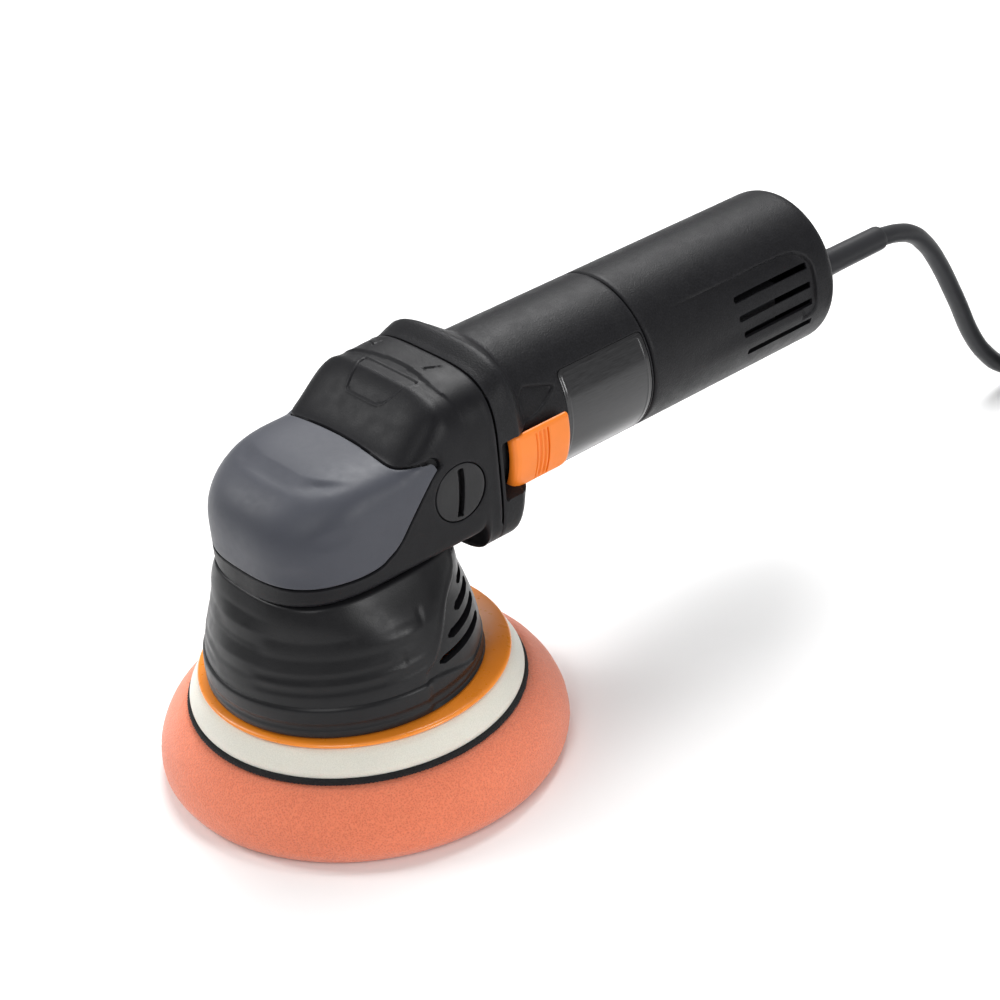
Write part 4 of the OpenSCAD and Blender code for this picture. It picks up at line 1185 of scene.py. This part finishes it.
# ---- plate and pads
def hashed(a, h, scale):
    """A fixed, smooth irregularity between -1 and 1."""
    return (np.sin(a * scale + 3.1 * h) + np.sin(a * scale * 1.73 - 5.3 * h + 1.3)
            + np.sin(a * scale * 2.61 + 7.9 * h + 4.1)) / 3


def foam_pad():
    r = disc("foam_pad")[0]
    middle = (low("foam_pad") + high("foam_pad"))[:2] / 2
    side = curve_through([(r - 5.2, 0), (r - 2.4, 1.4), (r - 0.7, 4), (r - 0.15, 7), (r - 0.9, 12),
            (r - 2.8, 16.5), (r - 6.0, 20.8), (r - 10.3, 24.4), (r - 15, 25.9)], 7)
    outline = [(q, 0.05) for q in np.arange(6, r - 6, 6)] + [tuple(p) for p in side]
    outline += [(q, 25.95) for q in np.arange(r - 17, 6, -6)]
    bm = lathe(outline, 420, (*middle, 0))

    def uneven(p):
        a = np.arctan2(p[:, 1] - middle[1], p[:, 0] - middle[0])
        edge = ease((np.hypot(p[:, 0] - middle[0], p[:, 1] - middle[1]) - 60) / 8) * ease(p[:, 2] / 3)
        edge *= ease((25.9 - p[:, 2]) / 2)
        return edge * (0.09 * hashed(a, p[:, 2] * 1.7, 140) - 0.1 + 0.12 * hashed(a, p[:, 2] * 0.1, 5))

    push(bm, uneven)
    pad = seat(to_object(bm, "foam_pad_skin", 50), "pad", "foam_pad")


def hook_disc():
    r, z0, z1 = disc("hook_disc")
    r -= 0.12
    outline = [(14, z0), (r - 0.9, z0 + 0.02), (r - 0.2, z0 + 0.25), (r, z0 + 0.7), (r - 0.02, z0 + 1.2),
            (r, z0 + 1.6), (r - 0.2, z1 - 0.25), (r - 0.9, z1 - 0.02), (14, z1)]
    bm = ring_lathe(outline, 900, PLATE_FOOT)

    def ragged(p):
        a = np.arctan2(p[:, 1] - PLATE_Y, p[:, 0] - PLATE_X)
        grow = 1 - 0.005 * (1 + hashed(a, p[:, 2] * 2.3, 237)) * (np.hypot(p[:, 0], p[:, 1]) > 40)
        return np.stack([PLATE_X + (p[:, 0] - PLATE_X) * grow, PLATE_Y + (p[:, 1] - PLATE_Y) * grow,
                p[:, 2]], 1)

    put(bm, ragged)
    seat(to_object(bm, "hook_disc_layer", 60), "pad", "hook_disc")


def plate_foam():
    r, z0, z1 = disc("plate_foam")
    side = curve_through([(r - 0.4, z0 + 0.15), (r - 0.05, z0 + 1.1), (r - 0.25, z0 + 2.8),
            (r - 1.6, z0 + 5.2), (r - 3.0, z0 + 7.3), (r - 4.2, z1 - 0.9), (r - 5.0, z1 - 0.25),
            (r - 6, z1)], 5)
    bm = ring_lathe([(20, z0), (r - 1.2, z0)] + [tuple(p) for p in side] + [(20, z1)], 256, PLATE_FOOT)
    seat(to_object(bm, "plate_foam_layer", 50), "pad", "plate_foam")


def backing_plate():
    r, _, z1 = disc("backing_plate")
    _, foot, rim = disc("plate_foam")
    foot += 1
    side = curve_through([(r - 0.8, rim + 0.02), (r - 0.1, rim + 0.7), (r - 0.15, rim + 1.3),
            (r - 1.0, rim + 1.9), (r - 3.5, rim + 2.25)], 5)
    outline = [(4, 40), (13, 40), (13, foot), (20, foot), (20, rim), (40, rim)] + [tuple(p) for p in side]
    outline += [(r - 7, rim + 2.4), (30, rim + 2.4), (24, rim + 2.5), (20, (rim + z1) / 2 + 1.6),
            (17, z1 - 0.5), (16, z1), (4, z1)]
    bm = ring_lathe(outline, 240, PLATE_FOOT)
    piece = to_object(bm, "backing_plate_skin", 40)
    holes = [rod(3.5, (PLATE_X + 38 * cos(a), PLATE_Y + 38 * sin(a), rim - 1), 8, "Z",
            40) for a in np.radians(np.arange(0, 360, 60))]
    seat(carved(piece, holes, 40), "pad", "backing_plate")


# ---- light and floor
def area_light(name, place, target, size, energy, tall):
    data = bpy.data.lights.new(name, "AREA")
    data.shape = "RECTANGLE"
    data.size = size
    data.size_y = tall
    data.energy = energy
    lamp = add_object(name, data)
    lamp.location = place
    lamp.rotation_euler = (Vector(target) - Vector(place)).to_track_quat("-Z", "Y").to_euler()


def studio():
    bm = bmesh.new()
    half = 4.0 / MM
    bm.faces.new([bm.verts.new((x * half, y * half, -0.3)) for x, y in ((-1, -1), (1, -1), (1, 1),
            (-1, 1))])
    floor = to_object(bm, "floor")
    floor.data.materials.append(floor_paint("floor_paint"))
    world = bpy.data.worlds.new("surround")
    bpy.context.scene.world = world
    world.use_nodes = True
    world.node_tree.nodes["Background"].inputs["Color"].default_value = (1, 1, 1, 1)
    world.node_tree.nodes["Background"].inputs["Strength"].default_value = 0.30
    area_light("overhead", (-0.45, 0.55, 1.15), (0, 0.08, 0.1), 0.7, 20, 1.0)
    area_light("front_left", (-0.80, -0.55, 0.80), (0, 0.03, 0.09), 0.35, 5.5, 0.6)
    area_light("right", (1.15, 0.30, 0.45), (0, 0.12, 0.11), 0.25, 5.0, 0.45)
    area_light("front_right", (0.55, -0.85, 1.0), (0, 0.1, 0.1), 0.5, 4.5, 0.5)
    bpy.context.scene.view_settings.view_transform = "Standard"


# ---- make everything
add_camera()
cord, cord_length = power_cord()
cord_inside()
cord_boot()
cord_tie()
plug_pieces = plug()

for make in (gear_case, head_cover, shroud, socket_plugs, motor_housing, label_plate, rear_housing,
        switch_slider, speed_dial, foam_pad, hook_disc, plate_foam, backing_plate):
    make()

for node, shape in frame["nodes"].items():
    if not shape.hide_render:
        shape.data.materials.clear()
        shape.data.materials.append(MATERIALS[SLOT_OF[node]])

studio()
bpy.context.view_layer.update()
